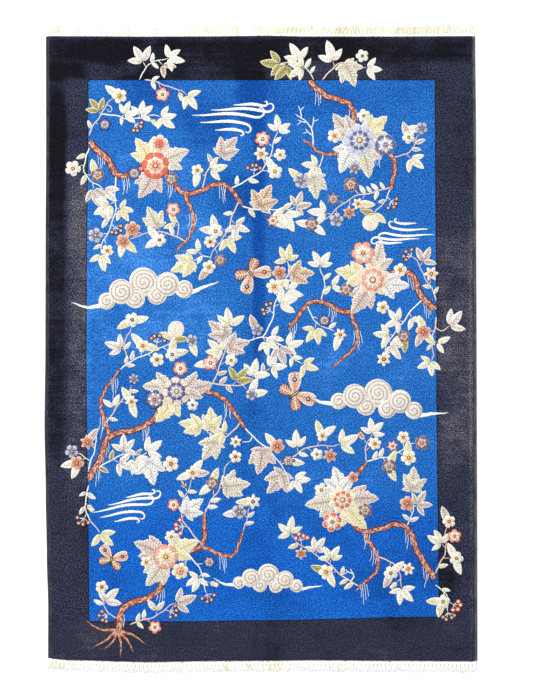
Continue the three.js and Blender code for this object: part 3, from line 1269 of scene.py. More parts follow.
CROSSINGS = (
    Crossing(-520, 560, 85, 150),
    Crossing(-520, -370, 85, 140),
    Crossing(520, 150, 85, 150),
    Crossing(180, 810, 170, 70),
    Crossing(-330, 810, 130, 66),
    Crossing(-380, -810, 150, 75),
    Crossing(520, -615, 85, 165),
)


class Shoot(NamedTuple):
    """A spray set over the border's inner edge: its root and its length in mm."""

    at: Stance
    length: float


BORDER_SHOOTS = (
    Shoot(Stance(-488, 605, 118), 130),
    Shoot(Stance(-488, 570, 238), 150),
    Shoot(Stance(-490, -350, 122), 130),
    Shoot(Stance(-490, -390, 242), 150),
    Shoot(Stance(498, 135, 62), 150),
    Shoot(Stance(498, 90, 302), 130),
    Shoot(Stance(150, 764, 148), 120),
    Shoot(Stance(175, 764, 38), 150),
    Shoot(Stance(-345, 764, 70), 110),
    Shoot(Stance(-330, 764, 20), 130),
    Shoot(Stance(496, -640, 55), 140),
    Shoot(Stance(496, -672, 318), 95),
    Shoot(Stance(-372, -785, 15), 150),
)


class Phase(NamedTuple):
    """One round of growing: the sprays' lengths in mm, and how open their way must be."""

    shortest: float
    longest: float
    room: float
    reach: float
    tries: int


PHASES = (
    Phase(170, 260, 0.94, 33, 40),
    Phase(110, 180, 0.92, 29, 70),
    Phase(70, 115, 0.88, 24, 100),
    Phase(40, 70, 0.86, 19, 80),
)


def stance_on(path: Array, i: int, turn: float = 0.0) -> Stance:
    """Stands on a path, faced the way from the point before to the point after.

    Args:
        path: the path, in mm.
        i: which of its points.
        turn: how far round from the path's way to face.

    Returns:
        The place and heading there.
    """
    step = path[min(i + 1, len(path) - 1)] - path[max(i - 1, 0)]
    return Stance(*path[i], math.degrees(math.atan2(step[1], step[0])) + turn)


def wander(at: Stance, length: float, curl: float, sway: float, rows: int) -> Array:
    """A path that bends evenly and sways.

    Its heading at share s of its length is heading + curl * s + sway * (sin(2 pi s) + sin(7 pi s) / 2),
    and the path is the running sum of unit steps that way.

    Args:
        at: where it starts, and its first heading.
        length: in mm.
        curl: its even bend from end to end, in degrees.
        sway: how far it strays to both sides, in degrees.
        rows: its number of points.

    Returns:
        The path, in mm.
    """
    s = (np.arange(rows - 1) + 0.5) / (rows - 1)
    waves = np.sin(2 * np.pi * s) + np.sin(7 * np.pi * s) / 2
    angle = np.radians(at.heading + curl * s + sway * waves)
    steps = np.stack([np.cos(angle), np.sin(angle)], -1) * length / (rows - 1)
    return np.array(at[:2]) + np.concatenate([np.zeros((1, 2)), np.cumsum(steps, axis=0)])


def through(route: tuple[tuple[float, float], ...], step: float) -> Array:
    """A smooth path through given places.

    Each stretch is the Catmull-Rom cubic of its two ends and their neighbours, cut into even
    parameters.

    Args:
        route: the places, in mm.
        step: about how far apart the path's points lie, in mm.

    Returns:
        The path, in mm.
    """
    p = np.array(route, float)
    p = np.concatenate([[2 * p[0] - p[1]], p, [2 * p[-1] - p[-2]]])
    a, b, c, d = p[:-3, None], p[1:-2, None], p[2:-1, None], p[3:, None]
    count = max(4, int(np.linalg.norm(np.diff(p, axis=0), axis=1).mean() / step))
    t = (np.arange(count) / count)[None, :, None]
    curve = 0.5 * (2 * b + (c - a) * t + (2 * a - 5 * b + 4 * c - d) * t**2 + (3 * b - a - 3 * c + d) * t**3)
    return np.concatenate([curve.reshape(-1, 2), p[-2:-1]])


class Draft:
    """The pattern's plan: motifs grown from the boughs into whatever ground is still open."""

    cell = 4.0  # the plan's grid, in mm
    field_inset = 9.0  # bare ground kept along the field's edge, in mm
    side_inset, end_inset = 22.0, 26.0  # the same along the pile's own edges

    def __init__(self, form: RugForm) -> None:
        """Opens the field and the crossings, and starts with nothing drawn.

        Args:
            form: the rug that the plan fills.
        """
        self.random = np.random.default_rng(SEED)
        self.xs = np.arange(-form.width / 2, form.width / 2, self.cell) + self.cell / 2
        self.ys = np.arange(-form.half_length, form.half_length, self.cell) + self.cell / 2
        x, y = np.meshgrid(self.xs, self.ys, indexing="ij")
        self.field = form.field_depth(x, y) > 0
        self.open = form.field_depth(x, y) > self.field_inset
        kept = np.abs(x) < form.half_body - self.side_inset
        kept &= np.abs(y) < form.half_length - self.end_inset
        for c in CROSSINGS:
            self.open |= kept & (((x - c.x) / c.half_x) ** 2 + ((y - c.y) / c.half_y) ** 2 < 1)
        self.blades: list[Blade] = []
        self.blooms: list[Bloom] = []
        self.boughs: list[Stem] = []
        self.twigs: list[Stem] = []
        self.scrolls: list[Bloom] = []
        self.wings: list[Blade] = []
        self.sites: list[Stance] = []

    def near(self, place: Sequence[float], radius: float) -> tuple[slice, slice, Array]:
        """The cells round a place.

        Args:
            place: the place, in mm.
            radius: how far round it, in mm.

        Returns:
            The cells' two ranges, and which of them lie within the radius.
        """
        x, y = place[:2]
        i0, i1 = (int((x + s * radius - self.xs[0]) / self.cell) for s in (-1, 1))
        j0, j1 = (int((y + s * radius - self.ys[0]) / self.cell) for s in (-1, 1))
        ranges = slice(max(i0, 0), max(i1 + 1, 1)), slice(max(j0, 0), max(j1 + 1, 1))
        dx, dy = self.xs[ranges[0]] - x, self.ys[ranges[1]] - y
        return *ranges, dx[:, None] ** 2 + dy[None] ** 2 <= radius**2

    def room(self, place: Sequence[float], radius: float) -> float:
        """How open a disc is: its open cells over its area in cells.

        Args:
            place: its middle, in mm.
            radius: in mm.

        Returns:
            The open share.
        """
        i, j, inside = self.near(place, radius)
        whole = math.pi * (radius / self.cell) ** 2
        return min(1.0, float((self.open[i, j] & inside).sum()) / whole)

    def claim(self, place: Sequence[float], radius: float) -> None:
        """Closes a disc."""
        i, j, inside = self.near(place, radius)
        self.open[i, j] &= ~inside

    def claim_path(self, path: Array, radius: float) -> None:
        """Closes a path's neighbourhood."""
        for place in path:
            self.claim(place, radius)

    def pick(self, ways: tuple[Colourway, ...]) -> Colourway:
        """A colourway by its share."""
        shares = np.array([w.share for w in ways])
        return ways[self.random.choice(len(ways), p=shares / shares.sum())]

    def leaf(self, at: Stance, length: float, cut: Cut, way: Colourway) -> None:
        """Draws one leaf from its base, and closes the ground that it covers.

        Args:
            at: its base.
            length: in mm.
            cut: its outline.
            way: its dyes.
        """
        wide = 0.68 if cut is Cut.BROAD else 0.49
        bend = self.random.uniform(-22, 22)
        self.blades.append(Blade(at, length, length * wide, bend, cut, way))
        for share in (0.25, 0.5, 0.75):
            self.claim(at.ahead(length * share, bend * share / 2), length * wide * 0.45 + 2)

    def lobed_leaf(self, at: Stance, length: float) -> None:
        """Draws a broad leaf of five toothed lobes.

        Args:
            at: its base.
            length: in mm.
        """
        way = self.pick(LEAF_WAYS)
        for turn, share in ((-94, 0.48), (94, 0.48), (-44, 0.78), (44, 0.78), (0, 1.0)):
            self.leaf(at.turned(turn), length * share, Cut.BROAD, way)

    def leaf_fan(self, at: Stance, count: int, length: float) -> None:
        """Draws leaves spread like a hand.

        Args:
            at: their base.
            count: how many, from 2 to 4.
            length: in mm.
        """
        way = self.pick(SMALL_LEAF_WAYS)
        spread = {2: 38, 3: 56, 4: 80}[count]
        for turn in np.linspace(-spread, spread, count):
            grown = length * (1.12 - 0.2 * abs(turn) / 56) * self.random.uniform(0.9, 1.08)
            base = at.turned(turn).turned(self.random.uniform(-7, 7)).ahead(2)
            self.leaf(base, grown, Cut.OVATE, way)

    def blossom(self, place: Sequence[float], radius: float) -> None:
        """Draws a small blossom with its heart.

        Args:
            place: its middle, in mm.
            radius: in mm.
        """
        way = self.pick(BLOOM_WAYS)
        pointed = self.random.random() < 0.22
        petals = 6 if pointed or self.random.random() < 0.15 else 5
        turn = self.random.uniform(0, 360)
        notch = 0.45 if pointed else 0.32
        self.blooms.append(Bloom(place, radius, petals, notch, pointed, turn, way))
        heart = DARK_HEART_WAY if way.rim is Dye.CREAM and self.random.random() < 0.3 else HEART_WAY
        self.blooms.append(Bloom(place, radius * 0.27, 6, 0.15, False, turn, heart, 1))
        self.claim(place, radius + 2)

    def berries(self, at: Stance) -> None:
        """Draws four berries on short stalks.

        Args:
            at: where the stalks meet.
        """
        way = BERRY_WAY if self.random.random() < 0.8 else BUD_WAY
        for turn in (-62, -20, 24, 64):
            stalk = at.turned(turn).turned(self.random.uniform(-8, 8))
            reach = self.random.uniform(15, 22)
            self.twig(wander(stalk, reach, 20, 0, 5), 1.6, 1.4)
            self.blooms.append(Bloom(stalk.ahead(reach), 7.4, 6, 0.08, False, 0, way))
        self.claim(at.ahead(10), 20)

    def bud(self, at: Stance) -> None:
        """Draws a closed bud in its calyx.

        Args:
            at: its base.
        """
        way = self.pick(BLOOM_WAYS)
        self.blades.append(Blade(at, 25, 14, 0, Cut.ROUND, way))
        for turn in (-32, 32):
            self.blades.append(Blade(at.turned(turn), 15, 6, 0, Cut.OVATE, OLIVE_LEAF))
        self.claim(at.ahead(12), 14)

    def fruit(self, at: Stance) -> None:
        """Draws a round fruit between two leaves.

        Args:
            at: its base.
        """
        self.blades.append(Blade(at, 52, 48, 0, Cut.FRUIT, FRUIT_WAY))
        self.leaf(at.turned(-78), 44, Cut.OVATE, OLIVE_LEAF)
        self.leaf(at.turned(78), 44, Cut.OVATE, STRAW_LEAF)
        self.claim(at.ahead(26), 27)

    def leafy_blossom(self, at: Stance) -> None:
        """Draws a small blossom alone or over up to three leaves.

        Args:
            at: the end of its stalk.
        """
        base = at.ahead(16)
        count = self.random.choice((0, 0, 1, 2, 3))
        for turn in self.random.permutation([-80, -20, 50, 120])[:count]:
            if self.room(base.ahead(40, turn), 10) > 0.75:
                self.leaf(base.turned(turn), 50, Cut.OVATE, self.pick(SMALL_LEAF_WAYS))
        self.blossom(at.ahead(18), self.random.uniform(18, 24))

    def twig(self, path: Array, root: float, tip: float, way: Colourway | None = None) -> None:
        """A twig or stalk."""
        self.twigs.append(Stem(path, root, tip, way or self.pick(TWIG_WAYS)))

    def tendril(self, at: Stance) -> None:
        """Draws a curl that tightens: it turns with the square root of the way that is left.

        Args:
            at: its root.
        """
        s = np.linspace(0, 1, 26)
        hand = self.random.choice((-1, 1))
        angle = np.radians(at.heading) + hand * (9.0 * (1 - np.sqrt(1 - 0.9 * s)) + 0.3 * s)
        steps = np.stack([np.cos(angle), np.sin(angle)], -1) * (62 / 25) * (1 - 0.55 * s)[:, None]
        path = np.array(at[:2]) + np.cumsum(steps, axis=0)
        self.twig(path, 1.4, 1.0, TWIG_WAYS[0])
        self.claim_path(path[::4], 6)

    def cluster(self, at: Stance) -> bool:
        """Sets the largest fitting group of leaves, blossoms or fruit at a twig's end.

        Args:
            at: the twig's end.

        Returns:
            Whether there was room for any.
        """
        chance = self.random.random()

        def clear(reach: float, radius: float) -> float:
            """The open share of a disc ahead."""
            return self.room(at.ahead(reach), radius)

        if chance < 0.4 and clear(20, 23) > 0.8:
            self.leafy_blossom(at)
        elif chance < 0.55 and clear(32, 30) > 0.8:
            self.lobed_leaf(at, self.random.uniform(56, 74))
        elif chance < 0.6 and clear(12, 18) > 0.9:
            self.berries(at)
        elif chance < 0.607 and clear(26, 28) > 0.9:
            self.fruit(at)
        elif chance > 0.8 and clear(25, 27) > 0.8:
            self.leaf_fan(at, 4, self.random.uniform(40, 46))
        elif clear(24, 22) > 0.74:
            self.leaf_fan(at, 3, self.random.uniform(40, 50))
        elif clear(18, 15) > 0.68:
            self.leaf_fan(at, 2, 38)
        elif clear(12, 12) > 0.66:
            self.bud(at)
        else:
            return False
        return True

    def openness(self, path: Array, reach: float) -> float:
        """How open a spray's way is: the least room at four places of it past its root.

        Args:
            path: the way, in mm.
            reach: how far round each place is looked at, in mm.

        Returns:
            The least open share.
        """
        places = path[[int(s * (len(path) - 1)) for s in (0.45, 0.7, 1.0)]]
        end = path[-1] + (path[-1] - path[-2]) / np.linalg.norm(path[-1] - path[-2]) * 26
        return min(self.room(p, reach) for p in (*places, end))

    def bare_spray(self, path: Array) -> None:
        """Draws a leafless twig, forked again and again to both sides.

        Args:
            path: the twig's way, in mm.
        """
        way = TWIG_WAYS[0]
        self.twig(path, 2.8, 1.7, way)
        side = 1
        for i in range(3, len(path) - 1, 2):
            at = stance_on(path, i, side * self.random.uniform(42, 60))
            fork = wander(at, self.random.uniform(24, 38), -side * 30, 0, 6)
            self.twig(fork, 2.2, 1.6, way)
            self.twig(wander(Stance(*fork[3], at.heading + side * 45), 16, 0, 0, 3), 1.9, 1.5, way)
            self.claim_path(fork, 6)
            side = -side
        self.claim_path(path, 8)

    def spray(self, path: Array, leafy: bool = False) -> None:
        """Draws a twig with groups to both sides, one at its end, and small leaves between them.

        Args:
            path: the twig's way, in mm.
            leafy: whether it may not be left bare.
        """
        length = float(np.linalg.norm(np.diff(path, axis=0), axis=1).sum())
        if length < 150 and not leafy and self.random.random() < 0.12:
            self.bare_spray(path)
            return
        way = self.pick(TWIG_WAYS)
        self.twig(path, 2.6 if length > 120 else 2.1, 1.6, way)
        count = int(length / 38)
        side = self.random.choice((-1, 1))
        stalks = []
        for n in range(count):
            i = int((0.28 + 0.6 * (n + 0.5) / count) * (len(path) - 1))
            stalks.append(stance_on(path, i, side * self.random.uniform(46, 66)))
            side = -side
        self.cluster(stance_on(path, len(path) - 1))
        for stalk in stalks:
            reach = self.random.uniform(8, 20)
            if self.cluster(stalk.ahead(reach)):
                self.twig(wander(stalk, reach, 0, 0, 4), 1.5, 1.3, way)
            elif self.random.random() < 0.3 and self.room(stalk.ahead(20), 10) > 0.8:
                self.tendril(stalk)
        self.side_leaves(path)
        self.claim_path(path[int(len(path) * 0.3) :: 2], 5)
        for i in range(3, len(path) - 1, 4):
            self.sites += [stance_on(path, i, turn) for turn in (-55, 55)]

    def side_leaves(self, path: Array) -> None:
        """Draws small single leaves wherever a twig still has open ground beside it.

        Args:
            path: the twig's way, in mm.
        """
        way = self.pick(SMALL_LEAF_WAYS)
        for i in range(2, len(path) - 1, 2):
            for turn in (-52, 52):
                at = stance_on(path, i, turn).turned(self.random.uniform(-10, 10))
                length = self.random.uniform(24, 33)
                if self.room(at.ahead(length * 0.65), 12) > 0.86 and self.random.random() < 0.6:
                    self.leaf(at.ahead(1), length, Cut.OVATE, way)

    def grow(self) -> None:
        """Grows sprays from the open sites, phase by phase, the most open way first."""
        for phase in PHASES:
            misses = 0
            while misses < phase.tries:
                best, way = phase.room, None
                chosen = self.random.choice(len(self.sites), min(24, len(self.sites)), replace=False)
                for i in chosen:
                    path = self.shoot(self.sites[i], self.random.uniform(phase.shortest, phase.longest))
                    openness = self.openness(path, phase.reach)
                    if openness >= best:
                        best, way = openness, path
                if way is None:
                    misses += 1
                else:
                    self.spray(way)
            log.info("sprays to %d mm: %.3f of the field covered", phase.shortest, self.covered())

    def shoot(self, at: Stance, length: float) -> Array:
        """A random way for a spray.

        Args:
            at: the site that it starts from.
            length: in mm.

        Returns:
            The way, in mm.
        """
        facing = at.turned(self.random.uniform(-30, 30))
        curl = self.random.uniform(-70, 70)
        sway = self.random.uniform(9, 24) * self.random.choice((-1, 1))
        return wander(facing, length, curl, sway, max(6, int(length / 9)))

    def covered(self) -> float:
        """The share of the field that is closed."""
        return 1 - float((self.open & self.field).sum() / self.field.sum())

    def bough(self, plan: BoughPlan) -> None:
        """Draws a gnarled bough, with sites along both sides and round its foot.

        Args:
            plan: its route and widths.
        """
        path = through(plan.route, 9.0)
        wobble = self.random.normal(0, 1.3, path.shape)
        wobble[0] = 0
        path = path + wobble
        fork = plan.root < FORK_WIDTH
        self.boughs.append(Stem(path, plan.root, plan.tip, BARK_WAY, 0.0, 0.12 if fork else 0.0))
        self.claim_path(path, 17)
        for i in range(6, len(path) - 2, 13):
            self.moss(*path[i])
        for i in range(4, len(path), 4):
            self.sites += [stance_on(path, i, turn) for turn in (-62, 62)]
        self.sites.append(stance_on(path, len(path) - 1))
        foot = stance_on(path, 0, 180)
        if not fork:
            self.sites += [Stance(*path[1], foot.heading + turn) for turn in (-70, -45, 45, 70)]
        for turn in np.linspace(-78, 78, plan.roots):
            reach = self.random.uniform(85, 115) * (0.65 + abs(turn) / 200)
            root = wander(foot.turned(turn), reach, self.random.uniform(-25, 25), 14, 14)
            self.boughs.append(Stem(root, plan.root * 0.6, 1.0, BARK_WAY, 0.0, 0.1))
            self.claim_path(root, 8)

    def moss(self, x: float, y: float) -> None:
        """Draws four fine strands that hang side by side from a bough.

        Args:
            x: the place across, in mm.
            y: the place along, in mm.
        """
        for n, length in enumerate(self.random.uniform((26, 38, 30, 20), (36, 56, 44, 30))):
            sway, curl = self.random.uniform((4, -25), (12, 25))
            strand = wander(Stance(x + 6 * n - 9, y, -90), length + 8, curl, sway, 12)
            self.twig(strand, 1.1, 1.0, TWIG_WAYS[0])
        self.claim((x, y - 28), 14)

    def feature(self, f: Feature) -> None:
        """Draws a large double blossom over a ring of broad leaves, with smaller ones round it.

        Args:
            f: its place, sizes and dyes.
        """
        at, turn = f.at, f.at.heading
        for n in range(f.leaves):
            base = at.turned(360 * (n + self.random.uniform(-0.2, 0.2)) / f.leaves).ahead(f.radius * 0.55)
            way = LEAF_WAYS[FEATURE_LEAVES[n % len(FEATURE_LEAVES)]]
            for side, share in ((-42, 0.76), (42, 0.76), (0, 1.0)):
                self.leaf(base.turned(side), self.random.uniform(74, 86) * share, Cut.BROAD, way)
        notch = 0.3 if f.pointed else 0.16
        beside, small = at.ahead(f.radius * 1.5, 180 / f.leaves), f.radius * 0.66
        self.blooms += [
            Bloom(at, f.radius, f.petals, notch, f.pointed, turn, f.outer),
            Bloom(at, f.radius * 0.62, f.petals, 0.2, False, turn + 20, f.inner, 1),
            Bloom(at, f.radius * 0.2, 6, 0.15, False, turn, HEART_WAY, 2),
            Bloom(beside, small, 6, 0.26, False, turn, f.inner),
            Bloom(beside, small * 0.5, 6, 0.3, True, turn, f.outer, 1),
            Bloom(beside, small * 0.18, 6, 0.15, False, turn, HEART_WAY, 2),
        ]
        self.claim(at, f.radius + 3)
        self.claim(beside, small + 3)
        for n in range(1, f.leaves):
            reach = f.radius * self.random.uniform(1.35, 1.6)
            self.blossom(at.ahead(reach, 360 * (n + 0.5) / f.leaves), self.random.uniform(17, 23))

    def cloud(self, s: Spot) -> None:
        """Draws a bank of round lobes with a drawn-out tail to each side.

        Args:
            s: its place and size.
        """
        for n, lobe in enumerate(CLOUD_LOBES):
            place, radius = s.at.offset(lobe.along, lobe.left, s.size), lobe.radius * s.size
            self.scrolls.append(Bloom(place, radius, 3, 0.05, False, 60.0 * n, CLOUD_WAY, n % 4))
            self.claim(place, radius + 4)
        for side, turn in ((-1, 180), (1, 0)):
            tail = Stance(*s.at.offset(side * 82, -16, s.size), s.at.heading + turn)
            path = wander(tail, 62 * s.size, side * 26, 10, 12)
            self.twig(path, 6.0 * s.size, 1.2, TWIG_WAYS[0])
            self.claim_path(path, 9)

    def wisp(self, s: Spot) -> None:
        """Draws lines of mist side by side, swelling to their middles, each hooked at its end.

        The heading sways once, and over the last third turns on by 250 degrees times the square of
        the way through that third.

        Args:
            s: its place and size.
        """
        share = (np.arange(MIST_STEPS) + 0.5) / MIST_STEPS
        for n, line in enumerate(MIST_LINES):
            hand = 1 if n > 1 else -1
            hook = hand * 250 * np.clip((share - 0.7) / 0.3, 0, 1) ** 2
            angle = np.radians(s.at.heading + 9 * np.sin(2 * np.pi * share) + hook)
            steps = np.stack([np.cos(angle), np.sin(angle)], -1) * line.length * s.size / MIST_STEPS
            root = s.at.ahead((line.start - 110) * s.size).ahead((n - 2) * 17.0 * s.size, 90)
            path = np.array(root[:2]) + np.concatenate([np.zeros((1, 2)), np.cumsum(steps, axis=0)])
            self.twigs.append(Stem(path, 1.2, 1.8, TWIG_WAYS[0], 3.6 * s.size))
            self.claim_path(path[::2], 10)

    def butterfly(self, s: Spot) -> None:
        """Draws two pairs of wings on a slim body, with two feelers.

        Args:
            s: its place and size.
        """
        at, size = s
        for side in (-1, 1):
            fore, hind = at.turned(side * 48), at.turned(side * 122)
            self.wings.append(Blade(fore, 58 * size, 36 * size, side * 14, Cut.ROUND, FORE_WING_WAY))
            self.wings.append(Blade(hind, 42 * size, 32 * size, -side * 10, Cut.ROUND, HIND_WING_WAY))
            feeler = wander(at.turned(side * 12), 44 * size, side * 70, 0, 10)
            self.twig(feeler, 1.3, 1.1, TWIG_WAYS[0])
            eye = at.ahead(38 * size, side * 54)
            self.blooms.append(Bloom(eye, 6.5 * size, 6, 0.1, False, 0, DARK_HEART_WAY, 2))
        self.wings.append(Blade(at.ahead(-20 * size), 44 * size, 9 * size, 0, Cut.LANCE, BODY_WAY))
        self.claim(at, 52 * size)

    def draw(self) -> "Draft":
        """Sets the listed motifs, then grows the rest.

        Returns:
            The finished plan.
        """
        for spots, motif in (
            (FEATURES, self.feature),
            (CLOUDS, self.cloud),
            (WISPS, self.wisp),
            (BUTTERFLIES, self.butterfly),
            (BOUGHS, self.bough),
        ):
            for spot in spots:
                motif(spot)
        for shoot in BORDER_SHOOTS:
            ways = [self.shoot(*shoot) for _ in range(16)]
            self.spray(max(ways, key=lambda way: self.openness(way, 26)), leafy=True)
        self.grow()
        return self


@dataclass(frozen=True)
class KnottedPattern:
    """The drawn motifs as low carved blocks of pile, a piece for each kind. All sizes are in mm."""

    form: RugForm
    draft: Draft
    knots: KnottedWool
    tuck: float = -0.5  # how far the blocks' edges reach into the ground
    lift: float = 0.95  # the blades' and blooms' least height over it
    bough_lift: float = 0.56
    twig_lift: float = 0.42
    stagger: float = 0.3  # from the lowest blade to the highest, and from a bloom's storey to the next
    midrib: float = 0.05  # how far a blade's midrib is sunk
    dish: float = 0.1  # how far a bloom's middle is sunk
    vein_pitch: float = 7.5
    scroll_pitch: float = 11.0

    def blade(self, b: Blade) -> Block:
        """Two rising flanks and a sunk midrib, at a height that the blade's place and heading set.

        Args:
            b: the leaf, petal or wing.

        Returns:
            Its block.
        """
        rows = 11 if b.cut in (Cut.OVATE, Cut.LANCE) else 22
        path = wander(b.at, b.length, b.bend, 0, rows)
        half = np.maximum(b.cut.half(rows) * b.width / 2, 0.3)
        top = self.lift + self.stagger * ((b.at.x * 0.37 + b.at.y * 0.73 + b.at.heading * 0.0123) % 1)
        heights = (self.tuck, top, top - self.midrib, top, self.tuck)
        across, veins = (-1, -0.86, 0, 0.86, 1), b.length / self.vein_pitch
        return ribbon(path, half, across, heights, self.form.surface, veins)

    def stem(self, s: Stem, lift: float) -> Block:
        """A rounded strip that tapers from root to tip: its swell follows half a sine wave.

        Args:
            s: the bough, twig or line.
            lift: its height over the ground.

        Returns:
            Its block.
        """
        half = np.linspace(s.root, s.tip, len(s.path))
        half = half + s.swell * np.sin(np.pi * np.linspace(0, 1, len(s.path)))
        half[0] *= 0.7
        half[-1] *= 0.5
        lift = lift - s.sunk
        heights = (self.tuck, lift, lift + 0.15, lift, self.tuck)
        return ribbon(s.path, half, (-1, -0.6, 0, 0.6, 1), heights, self.form.surface)

    def bloom(self, b: Bloom) -> Block:
        """A dished round motif, each storey a little higher than the last.

        Args:
            b: the motif.

        Returns:
            Its block.
        """
        top = self.lift + 0.5 + self.stagger * b.storey
        heights = (top - self.dish, top, self.tuck)
        turn, ground = math.radians(b.turn), self.form.surface
        return rosette(b.place[:2], b.radius, b.petals, b.notch, b.pointed, turn, heights, ground)

    def build(self) -> list[bpy.types.Object]:
        """Makes a piece each of the boughs, twigs, leaves, blossoms, clouds and butterflies.

        Returns:
            The pieces.
        """
        boughs, twigs, leaves = Piece("boughs"), Piece("twigs"), Piece("leaves")
        blossoms, clouds, butterflies = Piece("blossoms"), Piece("cloud_scrolls"), Piece("butterflies")
        for s in self.draft.boughs:
            boughs.add(self.stem(s, self.bough_lift), s.way)
        for s in self.draft.twigs:
            twigs.add(self.stem(s, self.twig_lift), s.way)
        for b in self.draft.blades:
            leaves.add(self.blade(b), b.way)
        for b in self.draft.blooms:
            blossoms.add(self.bloom(b), b.way, b.petals)
        for b in self.draft.scrolls:
            clouds.add(self.bloom(b), b.way, b.radius / self.scroll_pitch)
        for b in self.draft.wings:
            butterflies.add(self.blade(b), b.way)
        finishes = (
            (boughs, BarkWool("bark_wool", self.knots)),
            (twigs, Wool("twig_wool", self.knots, melange=0.2, carved=0.15)),
            (leaves, LeafWool("leaf_wool", self.knots)),
            (blossoms, BloomWool("blossom_wool", self.knots)),
            (clouds, ScrollWool("cloud_wool", self.knots)),
            (butterflies, LeafWool("wing_wool", self.knots)),
        )
        return [piece.make(self.form.shift, wool.material()) for piece, wool in finishes]


@dataclass(frozen=True)
class PileGround:
    """The pile itself, in mm: one closed sheet with a fine top, rounded edges and a flat underside."""

    form: RugForm
    knots: KnottedWool
    pitch: float = 5.0
    grain: float = 0.2
    inner: float = 4.2  # the top's distance inside the pile's outline
    rings: tuple[tuple[float, float], ...] = ((1.2, 0.0), (0.0, 2.2), (0.0, 5.6), (1.3, 8.1))

    def nap_light_shade(self, x: Array, y: Array) -> Array:
        """The painted nap light and shade: the sum of the patches, each tone / (1 + d^4), d its distance.

        Args:
            x: places across, in mm.
            y: places along, in mm.

        Returns:
            The tone at each place.
        """
        total = np.zeros(np.shape(x))
        for p in NAP_LIGHT_SHADE:
            away = (np.abs(x - p.x) / p.half_x) ** 4 + (np.abs(y - p.y) / p.half_y) ** 4
            total = total + p.tone / (1 + away * away)
        return total

    def build(self) -> bpy.types.Object:
        """Makes the sheet.

        The top is an even grid moved by the rug's drift, at the surface's height with a little
        random grain. Ring r of the edge is the grid's rim drawn in or out to that ring's inset, at
        its height, and the lowest ring is closed by a fan.

        Returns:
            The sheet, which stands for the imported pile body.
        """
        form, random = self.form, np.random.default_rng(SEED + 1)
        across = np.linspace(-1, 1, int(2 * form.half_body / self.pitch) + 1)
        along = np.linspace(-1, 1, int(2 * form.half_length / self.pitch) + 1)
        unit_x, unit_y = np.meshgrid(across, along, indexing="ij")
        x, y = form.strayed(unit_x * (form.half_body - self.inner), unit_y * (form.half_length - self.inner))
        z = form.surface(x, y) + random.normal(0, self.grain, x.shape)
        at = np.arange(x.size).reshape(x.shape)
        top = np.stack([at[:-1, :-1], at[1:, :-1], at[1:, 1:], at[:-1, 1:]], -1).reshape(-1)
        loop = np.concatenate([at[:-1, 0], at[-1, :-1], at[:0:-1, -1], at[0, :0:-1]])
        u, v = unit_x.ravel()[loop], unit_y.ravel()[loop]
        points = [np.column_stack([x.ravel(), y.ravel(), z.ravel()])]
        count, first = len(loop), x.size
        rims = [loop]
        for n, (inset, height) in enumerate(reversed(self.rings)):
            rx, ry = form.strayed(u * (form.half_body - inset), v * (form.half_length - inset))
            rides = form.surface(rx, ry) - form.thickness if n == 0 else 0.0
            points.append(np.column_stack([rx, ry, height + rides + np.zeros(count)]))
            rims.append(first + n * count + np.arange(count))
        points.append(np.zeros((1, 3)))
        centre = first + len(self.rings) * count
        walls = [
            np.stack([high, low, np.roll(low, -1), np.roll(high, -1)], -1).reshape(-1)
            for high, low in zip(rims, rims[1:])
        ]
        fan = np.stack([np.full(count, centre), np.roll(rims[-1], -1), rims[-1]], -1).reshape(-1)
        corners = np.concatenate([top, *walls, fan])
        squares = (top.size + sum(w.size for w in walls)) // 4
        sizes = np.concatenate([np.full(squares, 4), np.full(count, 3)])
        points = np.concatenate(points)
        piece = Piece("pile_ground")
        pattern = points[:, :2] * MM
        piece.add(Block(points, corners, sizes, pattern, np.zeros(len(points))), BARK_WAY)
        ground = GroundWool("ground_wool", self.knots, melange=0.7, carved=0.0).material()
        made = piece.make(form.shift, ground)
        Piece.note(made.data, "field_depth", form.field_depth(points[:, 0], points[:, 1]))
        # Painted nap light and shade, noted at each point.
        Piece.note(made.data, "nap_light_shade", self.nap_light_shade(points[:, 0], points[:, 1]))
        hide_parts("rug_body")
        return made


@dataclass(frozen=True)
class Yarn:
    """Bare spun yarn in the piece's fill dye, with its twist drawn along the strand as painted shade in the
    rim dye.
    """

    name: str
    twist: float
    pitch: float
    relief: float = 0.7
    ply_height: float = 0.5 * MM
    roughness: float = 0.85
    sheen: float = 0.2

    def material(self) -> bpy.types.Material:
        """Stripes of painted shade between the plies, at pitch mm along the strand, slanted by twist as they
        go round.

        Returns:
            The finish as a material.
        """
        made, nodes, shader = blank_finish(self.name)
        along, turn = nodes.axes(nodes.drawn_place())
        # Painted shade in the grooves between plies: the ply lines pull the colour to the rim dye, and fuzz
        # and wear noise vary it.
        ply = nodes.line(nodes.onto(turn, self.twist, nodes.math("DIVIDE", along, self.pitch)), 0.42)
        place = nodes.place()
        fuzz = nodes.noise(place, 900.0, 3.0)
        wear = nodes.noise(place, 25.0, 3.0)
        share = nodes.onto(ply, -0.45, nodes.math("ADD", fuzz, nodes.ease(wear, 0.35, 0.65)))
        nodes.feed(shader.inputs["Base Color"], nodes.blend(share, nodes.dye("rim"), nodes.dye("fill")))
        bump = nodes.add("Bump", {"Strength": self.relief, "Distance": self.ply_height})
        nodes.feed(bump.inputs["Height"], nodes.onto(ply, -0.8, fuzz))
        nodes.feed(shader.inputs["Normal"], bump.outputs["Normal"])
        shader.inputs["Roughness"].default_value = self.roughness
        shader.inputs["Sheen Weight"].default_value = self.sheen
        return made


